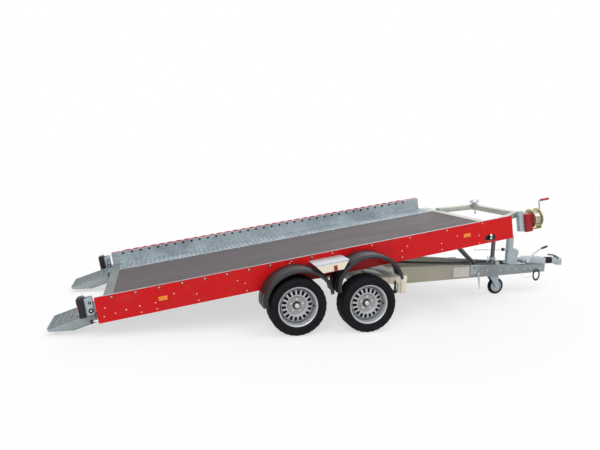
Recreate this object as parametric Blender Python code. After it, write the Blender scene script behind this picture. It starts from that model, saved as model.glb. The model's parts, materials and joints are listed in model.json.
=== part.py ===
"""Tilt car trailer: tandem axle chassis with a tilting loading platform.

Metres, +X towards the coupling, +Y to the left, +Z up, the wheels stand on z = 0.
The platform is drawn in its own frame, whose origin is the tilt pivot, and the
whole frame is turned nose up by the tilt of the loading position.
"""

import math

import bmesh
import bpy
from mathutils import Matrix, Vector

# General
GAP = 0.0003
CUT_OVERRUN = 0.01
MERGE = 0.0001
SIDES = {"right": -1, "left": 1}

# Wheels
TYRE_RADIUS = 0.2625
TYRE_WIDTH = 0.195
TYRE_CLEARANCE = 0.020
TYRE_WALL_SHARES = ((0.45, 1.00), (0.83, 0.92), (1.00, 0.76))
WHEEL_SEGMENTS = 24
RIM_RADIUS = 0.180
RIM_SEAT_RADIUS = 0.166
RIM_WIDTH = 0.152
RIM_WALL = 0.006
RIM_FLANGE = 0.007
RIM_FACE_SHARES = ((0, 0.59), (0.19, 0.54), (0.19, 0.20), (0.50, 0.14), (0.61, 0.43),
                   (0.85, 0.46), (1.00, 0.25))
RIM_BACK_SHARES = ((1.00, 0.12), (0.85, 0.33), (0.625, 0.30))
HUB_BACK_SHARE = -0.10
RIM_SLOTS = 18
RIM_SLOT_WIDTH = 0.023
RIM_SLOT_EDGE = 0.004
RIM_SLOT_OUTER_SHARE = 0.815
DRUM_RADIUS = 0.100
DRUM_CLEARANCE = 0.006
AXLE_SPACING = 0.656

# Axles
AXLE_TUBE = 0.070
AXLE_ARM_TRAIL = 0.150
AXLE_ARM_WIDTH = 0.045
AXLE_ARM_RADIUS = 0.034
BACKPLATE_RADIUS = 0.108
BACKPLATE_WALL = 0.008
STUB_RADIUS = 0.017
RUNNING_GAP = 0.0007

# Drawbar beams, in plan a V
BEAM_STATION = 0.672
BEAM_HALF_SPREAD = 0.436
BEAM_TAPER = 0.148
BEAM_FLANGE = 0.045
BEAM_WALL = 0.005
BEAM_REAR = -0.460
BEAM_SET_BACK = 0.020
BEAM_REAR_TOP = 0.405
BEAM_PEAK_STATION = 0.050
BEAM_PEAK_TOP = 0.450
BEAM_FRONT_TOP = 0.342
BEAM_REAR_BOTTOM = 0.343
BEAM_STEP_STATION = 0.820
BEAM_DEEP_STATION = 0.950
BEAM_DEEP_BOTTOM = 0.226
BEAM_FRONT_BOTTOM = 0.256

# Platform frame
TILT = math.radians(10.27)
PIVOT_HEIGHT = 0.405
RAIL_LENGTH = 3.950
RAIL_BEHIND_PIVOT = 1.995
RAIL_HEIGHT = 0.224
RAIL_TOP = 0.302
RAIL_OUTER = 1.035
RAIL_DEPTH = 0.050
RAIL_SHEET = 0.003
PROFILE_DROP = 0.006
LASHING_PITCH = 0.100
LASHING_RADIUS = 0.010
LASHING_DROP = 0.016
LASHING_SIDES = 6
LASHING_END = 0.135
HAND_SLOT_END = 0.255
HAND_SLOT_LENGTH = 0.114
HAND_SLOT_HEIGHT = 0.066
HAND_SLOT_LIFT = 0.048
FLOOR_DEPTH = 0.135
FLOOR_THICK = 0.018
FLOOR_HALF_WIDTH = 0.600
TRACK_SHEET = 0.004
REAR_BEAM_LENGTH = 0.090
FRONT_BEAM_LENGTH = 0.080
CROSS_WIDTH = 0.080
CROSS_DEPTH = 0.064
CROSS_WALL = 0.005
CROSS_STATIONS = {"rear": -1.150, "front": 0.850}

# Pivot
SHAFT_RADIUS = 0.018
SHAFT_OVERHANG = 0.024
EAR_CLEARANCE = 0.0265
EAR_THICK = 0.014
EAR_RADIUS = 0.045

# Hoop and winch at the nose
HOOP_TUBE = 0.060
HOOP_TOP = 0.190
HOOP_REACH = 0.365
HOOP_REAR_SPREAD = 0.605
HOOP_FRONT_SPREAD = 0.435
BAR_OVERHANG = 0.005
PULLEY_RADIUS = 0.048
PULLEY_HEIGHT = 0.045
PULLEY_SPREAD = 0.390
PULLEY_STEM_RADIUS = 0.014
PULLEY_STEM_DROP = 0.055
POST_TOP = 0.205
POST_BOTTOM = -0.020
WINCH_HEIGHT = 0.100
COVER_LENGTH = 0.088
COVER_WIDTH = 0.120
COVER_TOP = 0.169
COVER_BOTTOM = -0.034
COVER_ROUND = 0.012
DRUM_GAP = 0.006
FLANGE_RADIUS = 0.107
FLANGE_WALL = 0.006
WOUND_RADIUS = 0.078
WOUND_LENGTH = 0.085
WINCH_SEGMENTS = 20
WINCH_PLATE = 0.006
CRANK_HEIGHT = -0.006
CRANK_LENGTH = 0.290
CRANK_ROD = 0.008
GRIP_RADIUS = 0.014
GRIP_LENGTH = 0.110
CRANK_BOSS = 0.022

# Guards and steps
GUARD_RADIUS = 0.325
GUARD_LEAD = 0.004
GUARD_HEIGHT = -0.020
GUARD_FLAT_SHARE = 0.855
GUARD_OVERHANG = 0.018
GUARD_WALL = 0.004
GUARD_LIP = 0.040
GUARD_ROUND = 0.022
GUARD_ENDS = (math.radians(-6.0), math.radians(186.0))
GUARD_SEGMENTS = 14
STEP_TOP = 0.255
STEP_FLARE = 0.061
STEP_BOTTOM = 0.178
STEP_CLEARANCE = 0.0088
STEP_SHEET = 0.004

# Ramps
RAMP_SET_IN = 0.260
RAMP_WIDTH = 0.380
RAMP_REACH = 0.410
RAMP_HINGE_GAP = 0.015
RAMP_HINGE_DROP = 0.015
RAMP_HINGE_RADIUS = 0.011
RAMP_SET_BACK = 0.020
RAMP_KNEE_REACH = 0.225
RAMP_TIP_TOP = 0.129
RAMP_TIP_BOTTOM = 0.063
RAMP_KNEE_BOTTOM = 0.032
RAMP_ROOT_BOTTOM = 0.062
RAMP_SHEET = 0.005
KNUCKLE_HALF = 0.100
KNUCKLE_LENGTH = 0.045
KNUCKLE_GAP = 0.0007
KNUCKLE_INSET = 0.003

# Rear lamps
LAMP_SET_IN = 0.105
LAMP_WIDTH = 0.100
LAMP_DEPTH = 0.075
LAMP_STAND_OFF = 0.070
LAMP_BOTTOM = 0.120
LAMP_TOP = 0.330
LAMP_ROUND = 0.010
LAMP_BRACKET = 0.006

# Outriggers in front of the front wheels
OUTRIGGER_REAR = 0.620
OUTRIGGER_FRONT = 0.790
OUTRIGGER_REACH = 0.990
OUTRIGGER_TOP = 0.445
OUTRIGGER_BOTTOM = 0.385
REST_PLATE = 0.010
REST_TOP = 0.462
REST_BOTTOM = 0.295
REST_LENGTH = 0.045
KNOB_RADIUS = 0.020

# Cylinder that lifts the platform
CYL_LOW_STATION = 2.200
CYL_LOW_HEIGHT = 0.315
CYL_HIGH_STATION = 1.710
CYL_HIGH_HEIGHT = 0.092
CYL_BARREL = 0.430
CYL_BORE_START = 0.048
CYL_RADIUS = 0.027
ROD_RADIUS = 0.014
ROD_TAIL = 0.170
EYE_RADIUS = 0.020
EYE_HALF = 0.020
PIN_RADIUS = 0.010
CLEVIS_GAP = 0.006
CLEVIS_THICK = 0.010
EYE_ROOM = 0.052
CROSSTIE_LENGTH = 0.110
CROSSTIE_BOTTOM = 0.262
CROSSTIE_TOP = 0.288

# Jockey wheel
JOCKEY_STATION = 2.350
JOCKEY_SIDE = -0.080
JOCKEY_TUBE_RADIUS = 0.024
JOCKEY_TUBE_BOTTOM = 0.405
JOCKEY_TUBE_TOP = 0.640
JOCKEY_INNER_RADIUS = 0.018
JOCKEY_INNER_TOP = 0.452
JOCKEY_WHEEL_RADIUS = 0.100
JOCKEY_SEGMENTS = 16
JOCKEY_WHEEL_WIDTH = 0.045
JOCKEY_TRAIL = 0.070
FORK_TOP = 0.225
FORK_WALL = 0.006
FORK_GAP = 0.0075
FORK_REAR = 0.040
JOCKEY_CLAMP_HALF = 0.025
JOCKEY_CLAMP_FOOT = 0.410
JOCKEY_CLAMP_TOP = 0.450
JOCKEY_CLAMP_INSET = 0.045
JOCKEY_CRANK_HEIGHT = 0.690
JOCKEY_CRANK_REACH = 0.085

# Latch post with its roller and pull rod
LATCH_STATION = 2.600
LATCH_WIDTH = 0.065
LATCH_TOP = 0.686
LATCH_SHOULDER = 0.545
LATCH_BASE_TAIL = 0.040
LATCH_BASE_NOSE = 0.073
LATCH_BASE_HALF = 0.135
LATCH_BASE_PLATE = 0.006
LATCH_INNER = 0.022
LATCH_PLATE = 0.006
ROLLER_LEAD = 0.112
ROLLER_HEIGHT = 0.482
ROLLER_RADIUS = 0.052
ROLLER_HALF = 0.020
ROLLER_SHARES = ((0.86, 1.0), (1.0, 0.6), (0.92, 0.0), (1.0, -0.6), (0.86, -1.0))
PULL_ROD_RADIUS = 0.006
PULL_ROD_HEIGHT = 0.522
PULL_ROD_LENGTH = 0.450
PULL_KNOB_RADIUS = 0.016
PULL_KNOB_LENGTH = 0.028

# Overrun device and coupling
OVERRUN_GAP = 0.005
OVERRUN_LENGTH = 0.330
OVERRUN_TOP = 0.430
OVERRUN_HALF = 0.062
OVERRUN_NOSE = 0.421
OVERRUN_TAIL = 0.397
SHAFT_LINE = 0.382
BELLOWS_LENGTH = 0.115
BELLOWS_RADIUS = 0.042
BELLOWS_GROOVE = 0.008
BELLOWS_FOLDS = 5
BELLOWS_SEGMENTS = 12
HEAD_LENGTH = 0.155
HEAD_RADIUS = 0.046
HEAD_BOTTOM = 0.326
HEAD_TOP = 0.412
HEAD_CROWN = 0.008
NECK_HALF = 0.030
NECK_BOTTOM = 0.345
NECK_TOP = 0.418
SOCKET_RADIUS = 0.026
SOCKET_DEPTH = 0.050
LEVER_RADIUS = 0.010
LEVER_BOSS = 0.026
LEVER_ROUTE = ((0.060, 0.395), (0.144, 0.483), (0.240, 0.545), (0.320, 0.572))

COLOURS = {
    "red_paint": (0.60, 0.010, 0.012, 0.35, 0.0),
    "galvanised": (0.42, 0.47, 0.50, 0.45, 0.9),
    "drawbar_zinc": (0.30, 0.31, 0.30, 0.50, 0.8),
    "plywood": (0.16, 0.13, 0.13, 0.60, 0.0),
    "black_plastic": (0.030, 0.031, 0.035, 0.45, 0.0),
    "tyre_rubber": (0.018, 0.019, 0.022, 0.80, 0.0),
    "rim_silver": (0.55, 0.56, 0.58, 0.35, 0.9),
    "winch_red": (0.30, 0.010, 0.016, 0.40, 0.0),
    "yellow_zinc": (0.45, 0.38, 0.12, 0.35, 0.8),
    "nylon": (0.70, 0.66, 0.54, 0.55, 0.0),
    "black_steel": (0.020, 0.020, 0.022, 0.35, 0.3),
}

# Places worked out from the sizes above
TYRE_OUTER_FACE = RAIL_OUTER + TYRE_CLEARANCE + TYRE_WIDTH
GUARD_OUTER = TYRE_OUTER_FACE + GUARD_OVERHANG
LATCH_BASE_REAR = LATCH_STATION - LATCH_BASE_TAIL
ROLLER_STATION = LATCH_STATION + ROLLER_LEAD
LATCH_BASE_FRONT = ROLLER_STATION + LATCH_BASE_NOSE
PULL_ROD_REAR = LATCH_STATION - PULL_ROD_LENGTH
OVERRUN_REAR = LATCH_BASE_FRONT + OVERRUN_GAP
OVERRUN_FRONT = OVERRUN_REAR + OVERRUN_LENGTH
BEAM_FRONT = OVERRUN_FRONT - BEAM_SET_BACK
WHEEL_PLANE = TYRE_OUTER_FACE - TYRE_WIDTH / 2
HUB_HEIGHT = TYRE_RADIUS * math.cos(math.pi / WHEEL_SEGMENTS)
JOCKEY_HUB_HEIGHT = JOCKEY_WHEEL_RADIUS * math.cos(math.pi / JOCKEY_SEGMENTS)
RAIL_REAR = -RAIL_BEHIND_PIVOT
RAIL_FRONT = RAIL_REAR + RAIL_LENGTH
RAIL_BOTTOM = RAIL_TOP - RAIL_HEIGHT
RAIL_INNER = RAIL_OUTER - RAIL_DEPTH
FLOOR_TOP = RAIL_TOP - FLOOR_DEPTH
FLOOR_BOTTOM = FLOOR_TOP - FLOOR_THICK
CROSS_TOP = FLOOR_BOTTOM - GAP
CROSS_BOTTOM = CROSS_TOP - CROSS_DEPTH
FLOOR_REAR = RAIL_REAR + REAR_BEAM_LENGTH + GAP
GUARD_STATION = AXLE_SPACING / 2 + GUARD_LEAD
GUARD_RISE = GUARD_RADIUS * GUARD_FLAT_SHARE
STEP_RISE_SHARE = (STEP_BOTTOM - GUARD_HEIGHT) / GUARD_RISE
GUARD_HALF_CHORD = GUARD_RADIUS * math.sqrt(1 - STEP_RISE_SHARE ** 2)
STEP_BOTTOM_HALF = GUARD_STATION - GUARD_HALF_CHORD - STEP_CLEARANCE
STEP_TOP_HALF = STEP_BOTTOM_HALF + STEP_FLARE
RAMP_CENTRE = RAIL_INNER - RAMP_SET_IN
LAMP_INNER = RAIL_OUTER - LAMP_SET_IN
BEAM_ANGLE = math.atan(BEAM_TAPER)
COUPLING_TIP = OVERRUN_FRONT + BELLOWS_LENGTH + HEAD_LENGTH
RAMP_TIP = RAIL_REAR - RAMP_HINGE_GAP - RAMP_REACH
REARMOST = RAMP_TIP * math.cos(TILT) - RAMP_TIP_TOP * math.sin(TILT)
SHIFT = -(COUPLING_TIP + REARMOST) / 2


def beam_side(station):
    """Distance of a beam's outer face from the centre line."""
    return BEAM_HALF_SPREAD - BEAM_TAPER * (station - BEAM_STATION)


def beam_top(station):
    """Height of a beam's top between its peak and its front end."""
    share = (station - BEAM_PEAK_STATION) / (BEAM_FRONT - BEAM_PEAK_STATION)
    return BEAM_PEAK_TOP + share * (BEAM_FRONT_TOP - BEAM_PEAK_TOP)


EAR_INNER = beam_side(0) + EAR_CLEARANCE
SHAFT_HALF_LENGTH = EAR_INNER + EAR_THICK + SHAFT_OVERHANG


def clear_scene():
    for old in list(bpy.data.objects):
        bpy.data.objects.remove(old, do_unlink=True)


def collection(name):
    found = bpy.data.collections.get(name) or bpy.data.collections.new(name)
    if name not in bpy.context.scene.collection.children:
        bpy.context.scene.collection.children.link(found)
    return found


def make_material(name, red, green, blue, roughness, metallic):
    made = bpy.data.materials.new(name)
    made.use_nodes = True
    shader = made.node_tree.nodes["Principled BSDF"]
    shader.inputs["Base Color"].default_value = (red, green, blue, 1)
    shader.inputs["Roughness"].default_value = roughness
    shader.inputs["Metallic"].default_value = metallic
    made.diffuse_color = (red, green, blue, 1)
    return made


def frame(name, parent=None, at=(0, 0, 0), turn=(0, 0, 0)):
    """An empty that carries pieces; a joint's axis goes through its origin."""
    empty = bpy.data.objects.new(name, None)
    PARTS.objects.link(empty)
    empty.parent = parent
    empty.location = at
    empty.rotation_euler = turn
    return empty


def piece(name, mesh, material, parent, at=(0, 0, 0), turn=(0, 0, 0), smooth=False):
    """A named solid of the trailer."""
    made = bpy.data.objects.new(name, mesh)
    PARTS.objects.link(made)
    made.parent = parent
    made.location = at
    made.rotation_euler = turn
    own = make_material(name, *COLOURS[material])
    mesh.materials.clear()
    mesh.materials.append(own)
    if smooth:
        mesh.shade_smooth()
        mesh.set_sharp_from_angle(angle=math.radians(35))
    return made


def shape_tool(target, mesh, operation="DIFFERENCE", at=(0, 0, 0), turn=(0, 0, 0)):
    """Cuts a mesh out of a piece, or joins it to the piece, in the piece's own frame."""
    count = len(target.modifiers)
    made = bpy.data.objects.new(f"{target.name}_tool_{count}", mesh)
    CUTTERS.objects.link(made)
    made.parent = target
    made.location = at
    made.rotation_euler = turn
    made.hide_render = True
    made.display_type = "WIRE"
    step = target.modifiers.new(f"{operation.lower()}_{count}", "BOOLEAN")
    step.operation = operation
    step.object = made
    step.solver = "EXACT"
    return made


def cut(target, mesh, **where):
    return shape_tool(target, mesh, "DIFFERENCE", **where)


def join(target, mesh, **where):
    return shape_tool(target, mesh, "UNION", **where)


def finish_mesh(shape, name):
    bmesh.ops.recalc_face_normals(shape, faces=shape.faces)
    mesh = bpy.data.meshes.new(name)
    shape.to_mesh(mesh)
    shape.free()
    return mesh


def block(x_span, y_span, z_span, round_by=0.0):
    """A box between two values on each axis, with its edges rounded if asked."""
    shape = bmesh.new()
    bmesh.ops.create_cube(shape, size=1)
    size = Vector((x_span[1] - x_span[0], y_span[1] - y_span[0], z_span[1] - z_span[0]))
    middle = Vector((sum(x_span), sum(y_span), sum(z_span))) / 2
    bmesh.ops.scale(shape, vec=size, verts=shape.verts)
    bmesh.ops.translate(shape, vec=middle, verts=shape.verts)
    if round_by:
        bmesh.ops.bevel(shape, geom=shape.edges[:], offset=round_by, segments=2,
                        profile=0.5, affect="EDGES", clamp_overlap=True)
    return finish_mesh(shape, "block")


def rod(start, end, radius, segments=16, end_radius=None):
    """A round bar between two points, a cone if the end radius differs."""
    start, end = Vector(start), Vector(end)
    shape = bmesh.new()
    last = radius if end_radius is None else end_radius
    bmesh.ops.create_cone(shape, cap_ends=True, segments=segments, radius1=radius,
                          radius2=last, depth=(end - start).length)
    turn = Vector((0, 0, 1)).rotation_difference(end - start).to_matrix().to_4x4()
    place = Matrix.Translation((start + end) / 2) @ turn
    bmesh.ops.transform(shape, matrix=place, verts=shape.verts)
    return finish_mesh(shape, "rod")


# How an outline's own two axes and its thickness lie in the piece's frame
PLANES = {
    "XZ": Matrix(((1, 0, 0), (0, 0, -1), (0, 1, 0))),
    "XY": Matrix(((1, 0, 0), (0, 1, 0), (0, 0, 1))),
    "YZ": Matrix(((0, 0, 1), (1, 0, 0), (0, 1, 0))),
}


def welded(holder):
    """The closed shape of a curve object, which is removed."""
    CUTTERS.objects.link(holder)
    bpy.context.view_layer.update()
    seen = holder.evaluated_get(bpy.context.evaluated_depsgraph_get())
    mesh = bpy.data.meshes.new_from_object(seen)
    bpy.data.objects.remove(holder, do_unlink=True)
    shape = bmesh.new()
    shape.from_mesh(mesh)
    bpy.data.meshes.remove(mesh)
    bmesh.ops.remove_doubles(shape, verts=shape.verts, dist=MERGE)
    return shape


def plate(outline, plane, span):
    """A flat outline in one plane, filled from one value to another across it."""
    curve = bpy.data.curves.new("outline", "CURVE")
    curve.dimensions = "2D"
    curve.fill_mode = "BOTH"
    curve.extrude = (span[1] - span[0]) / 2
    line = curve.splines.new("POLY")
    line.points.add(len(outline) - 1)
    for point, place in zip(line.points, outline):
        point.co = (place[0], place[1], 0, 1)
    line.use_cyclic_u = True
    shape = welded(bpy.data.objects.new("outline", curve))
    lift = sum(span) / 2 * (-1 if plane == "XZ" else 1)
    turn = PLANES[plane].to_4x4() @ Matrix.Translation((0, 0, lift))
    bmesh.ops.transform(shape, matrix=turn, verts=shape.verts)
    return finish_mesh(shape, "plate")


def turned(profile, segments, along="Y", arc=None, first_turn=0.0):
    """A closed profile of (radius, place along the axis) spun round that axis."""
    shape = bmesh.new()
    points = [shape.verts.new((radius, 0, place)) for radius, place in profile]
    start = first_turn if arc is None else arc[0]
    if arc is None:
        ring = [shape.edges.new(pair) for pair in zip(points, points[1:] + points[:1])
                if not (pair[0].co.x == 0 and pair[1].co.x == 0)]
    bmesh.ops.rotate(shape, verts=shape.verts, matrix=Matrix.Rotation(start, 3, "Z"))
    if arc is None:
        bmesh.ops.spin(shape, geom=points + ring, axis=(0, 0, 1), angle=2 * math.pi,
                       steps=segments, use_merge=True)
    else:
        cap = shape.faces.new(points)
        bmesh.ops.spin(shape, geom=points + list(cap.edges) + [cap], axis=(0, 0, 1),
                       angle=arc[1] - arc[0], steps=segments)
        bmesh.ops.reverse_faces(shape, faces=[cap])
    bmesh.ops.remove_doubles(shape, verts=shape.verts, dist=MERGE)
    turns = {
        "Z": Matrix.Identity(4),
        "Y": Matrix.Rotation(-math.pi / 2, 4, "X"),
        "X": Matrix.Rotation(math.pi / 2, 4, "Y"),
    }
    bmesh.ops.transform(shape, matrix=turns[along], verts=shape.verts)
    return finish_mesh(shape, "turned")


def mirrored(mesh, side):
    """The mesh for one side: as drawn on the left, mirrored on the right."""
    if side > 0:
        return mesh
    shape = bmesh.new()
    shape.from_mesh(mesh)
    bmesh.ops.scale(shape, vec=(1, -1, 1), verts=shape.verts)
    bmesh.ops.reverse_faces(shape, faces=shape.faces)
    return finish_mesh(shape, mesh.name)


def wheel_turn(segments):
    """The turn of half a facet with which a wheel stands on a facet, not on an edge."""
    return math.pi / segments


def side_span(side, inner, outer):
    return sorted((side * inner, side * outer))


def inset(outline, wall):
    """The outline moved inwards by a wall, each corner along both its edges."""
    count = len(outline)
    area = sum(outline[i][0] * outline[(i + 1) % count][1]
               - outline[(i + 1) % count][0] * outline[i][1] for i in range(count))
    inward = 1 if area > 0 else -1
    moved = []
    for i, corner in enumerate(outline):
        before = (Vector(corner) - Vector(outline[i - 1])).normalized()
        after = (Vector(outline[(i + 1) % count]) - Vector(corner)).normalized()
        normal = Vector((-before.y, before.x)) * inward
        other = Vector((-after.y, after.x)) * inward
        middle = (normal + other).normalized()
        moved.append(tuple(Vector(corner) + middle * (wall / middle.dot(normal))))
    return moved


def channel(name, material, parent, outline, side, **where):
    """A pressed C beam: a web along the outline, flanges turned to the centre line."""
    y_span = sorted((0.0, -side * BEAM_FLANGE))
    made = piece(name, plate(outline, "XZ", y_span), material, parent, **where)
    open_span = sorted((-side * BEAM_WALL, -side * (BEAM_FLANGE + CUT_OVERRUN)))
    cut(made, plate(inset(outline, BEAM_WALL), "XZ", open_span))
    return made


def build_beams():
    stretch = 1 / math.cos(BEAM_ANGLE)
    outline = [
        (BEAM_REAR, BEAM_REAR_BOTTOM), (BEAM_STEP_STATION, BEAM_REAR_BOTTOM),
        (BEAM_DEEP_STATION, BEAM_DEEP_BOTTOM), (BEAM_FRONT, BEAM_FRONT_BOTTOM),
        (BEAM_FRONT, BEAM_FRONT_TOP), (BEAM_PEAK_STATION, BEAM_PEAK_TOP),
        (BEAM_REAR, BEAM_REAR_TOP),
    ]
    outline = [((x - BEAM_STATION) * stretch, z) for x, z in outline]
    for word, side in SIDES.items():
        made = channel(f"drawbar_beam_{word}", "drawbar_zinc", CHASSIS, outline, side,
                       at=(BEAM_STATION, side * BEAM_HALF_SPREAD, 0),
                       turn=(0, 0, -side * BEAM_ANGLE))
        bore = rod((0, -CUT_OVERRUN * 2, 0), (0, CUT_OVERRUN * 2, 0), SHAFT_RADIUS + GAP * 2)
        cut(made, bore, at=(-BEAM_STATION * stretch, 0, PIVOT_HEIGHT),
            turn=(0, 0, side * BEAM_ANGLE))


def build_pivot_shaft():
    ends = (0, -SHAFT_HALF_LENGTH, PIVOT_HEIGHT), (0, SHAFT_HALF_LENGTH, PIVOT_HEIGHT)
    piece("pivot_shaft", rod(*ends, SHAFT_RADIUS, 20), "galvanised", CHASSIS, smooth=True)


def build_axles():
    tube_top = BEAM_REAR_BOTTOM - GAP
    tube = (tube_top - AXLE_TUBE, tube_top)
    tube_middle = sum(tube) / 2
    arm_outer = WHEEL_PLANE - RIM_WIDTH / 2 - RIM_WALL * 2 - BACKPLATE_WALL
    arm_inner = arm_outer - AXLE_ARM_WIDTH
    for word, hub in (("rear", -AXLE_SPACING / 2), ("front", AXLE_SPACING / 2)):
        middle = hub + AXLE_ARM_TRAIL
        half = AXLE_TUBE / 2
        made = piece(f"axle_{word}",
                     block((middle - half, middle + half), (-arm_outer, arm_outer), tube),
                     "galvanised", CHASSIS)
        for side in SIDES.values():
            join(made, capsule((middle, tube_middle), (hub, HUB_HEIGHT), AXLE_ARM_RADIUS,
                               side_span(side, arm_inner, arm_outer + GAP)))
            plate_span = side * arm_outer, side * (arm_outer + BACKPLATE_WALL)
            join(made, rod((hub, plate_span[0], HUB_HEIGHT), (hub, plate_span[1], HUB_HEIGHT),
                           BACKPLATE_RADIUS, 18))
            join(made, rod((hub, side * arm_inner, HUB_HEIGHT),
                           (hub, side * (WHEEL_PLANE - DRUM_RADIUS / 2), HUB_HEIGHT),
                           STUB_RADIUS, 12))


def capsule(first, second, radius, y_span, steps=6):
    """A bar with round ends in the side view, between two points."""
    first, second = Vector(first), Vector(second)
    heading = math.atan2(second.y - first.y, second.x - first.x)
    outline = []
    for centre, start in ((second, heading - math.pi / 2), (first, heading + math.pi / 2)):
        for i in range(steps + 1):
            angle = start + math.pi * i / steps
            outline.append((centre.x + radius * math.cos(angle),
                            centre.y + radius * math.sin(angle)))
    return plate(outline, "XZ", y_span)


def tyre_profile():
    half = TYRE_WIDTH / 2
    bead = RIM_WIDTH / 2 - RIM_FLANGE - GAP
    seat = RIM_SEAT_RADIUS + GAP
    flange = RIM_RADIUS + GAP * 2
    wall = TYRE_RADIUS - RIM_RADIUS
    right = [(seat, bead), (flange, bead)]
    right += [(RIM_RADIUS + wall * up, half * out) for up, out in TYRE_WALL_SHARES]
    return right + [(radius, -place) for radius, place in reversed(right)]


def rim_profile():
    """Barrel, pressed disc with its hub cap, and the brake drum behind it."""
    lip = RIM_WIDTH / 2
    inside = RIM_SEAT_RADIUS - RIM_WALL
    edge = RIM_RADIUS - RIM_WALL
    seat_edge = lip - RIM_FLANGE
    drop = lip - RIM_FLANGE * 2
    drum_back = -(lip + RIM_WALL * 2 - DRUM_CLEARANCE)
    bore = STUB_RADIUS + RUNNING_GAP
    hub_back = lip * HUB_BACK_SHARE
    face = [(inside * out, lip * up) for out, up in RIM_FACE_SHARES]
    back = [(inside * out, lip * up) for out, up in RIM_BACK_SHARES]
    barrel = [
        (inside, drop), (edge, lip), (RIM_RADIUS, lip), (RIM_RADIUS, seat_edge),
        (RIM_SEAT_RADIUS, seat_edge), (RIM_SEAT_RADIUS, -seat_edge), (RIM_RADIUS, -seat_edge),
        (RIM_RADIUS, -lip), (edge, -lip), (inside, -drop),
    ]
    hub = [(DRUM_RADIUS, drum_back), (bore, drum_back), (bore, hub_back), (0, hub_back)]
    return face + barrel + back + hub


def disc_slots():
    """The ring of slots through a wheel disc, between the drum and the disc's shoulder."""
    inner = DRUM_RADIUS + RIM_SLOT_EDGE
    outer = (RIM_SEAT_RADIUS - RIM_WALL) * RIM_SLOT_OUTER_SHARE
    shape = bmesh.new()
    for number in range(RIM_SLOTS):
        bar = bmesh.ops.create_cube(shape, size=1)["verts"]
        bmesh.ops.scale(shape, vec=(outer - inner, RIM_WIDTH, RIM_SLOT_WIDTH), verts=bar)
        bmesh.ops.translate(shape, vec=((inner + outer) / 2, 0, 0), verts=bar)
        turn = Matrix.Rotation(2 * math.pi * number / RIM_SLOTS, 3, "Y")
        bmesh.ops.rotate(shape, verts=bar, matrix=turn)
    return finish_mesh(shape, "slots")


def build_wheels():
    for word, place in (("rear", -AXLE_SPACING / 2), ("front", AXLE_SPACING / 2)):
        for side_word, side in SIDES.items():
            hub = frame(f"hub_{word}_{side_word}", CHASSIS,
                        (place, side * WHEEL_PLANE, HUB_HEIGHT))
            facet = wheel_turn(WHEEL_SEGMENTS)
            tyre = turned(tyre_profile(), WHEEL_SEGMENTS, first_turn=facet)
            piece(f"tyre_{word}_{side_word}", tyre, "tyre_rubber", hub, smooth=True)
            rim = mirrored(turned(rim_profile(), WHEEL_SEGMENTS, first_turn=facet), side)
            made = piece(f"rim_{word}_{side_word}", rim, "rim_silver", hub, smooth=True)
            cut(made, disc_slots())


def build_outriggers():
    for word, side in SIDES.items():
        outline = [
            (OUTRIGGER_REAR, side * (beam_side(OUTRIGGER_REAR) + GAP)),
            (OUTRIGGER_FRONT, side * (beam_side(OUTRIGGER_FRONT) + GAP)),
            (OUTRIGGER_FRONT, side * OUTRIGGER_REACH), (OUTRIGGER_REAR, side * OUTRIGGER_REACH),
        ]
        made = piece(f"outrigger_{word}",
                     plate(outline, "XY", (OUTRIGGER_BOTTOM, OUTRIGGER_TOP)),
                     "galvanised", CHASSIS)
        rest = (OUTRIGGER_FRONT - REST_LENGTH, OUTRIGGER_FRONT + REST_PLATE)
        face = side_span(side, OUTRIGGER_REACH - REST_PLATE, OUTRIGGER_REACH + REST_PLATE)
        join(made, block(rest, face, (REST_BOTTOM, REST_TOP)))
        knob = OUTRIGGER_FRONT - REST_LENGTH - KNOB_RADIUS / 2
        low = (knob, side * (OUTRIGGER_REACH - KNOB_RADIUS), REST_BOTTOM)
        high = (knob, side * (OUTRIGGER_REACH - KNOB_RADIUS), OUTRIGGER_BOTTOM + REST_PLATE)
        join(made, rod(low, high, KNOB_RADIUS))


def build_crosstie():
    """Tie between the beams that carries the cylinder's foot."""
    rear = CYL_LOW_STATION - CROSSTIE_LENGTH / 2
    front = CYL_LOW_STATION + CROSSTIE_LENGTH / 2
    wall = (BEAM_WALL + GAP) / math.cos(BEAM_ANGLE)
    outline = [
        (rear, -(beam_side(rear) - wall)), (front, -(beam_side(front) - wall)),
        (front, beam_side(front) - wall), (rear, beam_side(rear) - wall),
    ]
    made = piece("drawbar_crosstie", plate(outline, "XY", (CROSSTIE_BOTTOM, CROSSTIE_TOP)),
                 "galvanised", CHASSIS)
    inner = EYE_HALF + CLEVIS_GAP
    for side in SIDES.values():
        ear = capsule((CYL_LOW_STATION, CROSSTIE_TOP), (CYL_LOW_STATION, CYL_LOW_HEIGHT),
                      EYE_RADIUS, side_span(side, inner, inner + CLEVIS_THICK))
        join(made, ear)
    reach = inner + CLEVIS_THICK / 2
    join(made, rod((CYL_LOW_STATION, -reach, CYL_LOW_HEIGHT),
                   (CYL_LOW_STATION, reach, CYL_LOW_HEIGHT), PIN_RADIUS))
    relief = EYE_RADIUS + CLEVIS_GAP
    cut(made, rod((CYL_LOW_STATION, -inner, CYL_LOW_HEIGHT),
                  (CYL_LOW_STATION, inner, CYL_LOW_HEIGHT), relief, 24))
    join(made, rod((CYL_LOW_STATION, -reach, CYL_LOW_HEIGHT),
                   (CYL_LOW_STATION, reach, CYL_LOW_HEIGHT), PIN_RADIUS))


def high_eye():
    """The cylinder's upper pin in the chassis frame, with the platform tilted."""
    x = CYL_HIGH_STATION * math.cos(TILT) - CYL_HIGH_HEIGHT * math.sin(TILT)
    z = CYL_HIGH_STATION * math.sin(TILT) + CYL_HIGH_HEIGHT * math.cos(TILT)
    return Vector((x, 0, PIVOT_HEIGHT + z))


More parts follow.
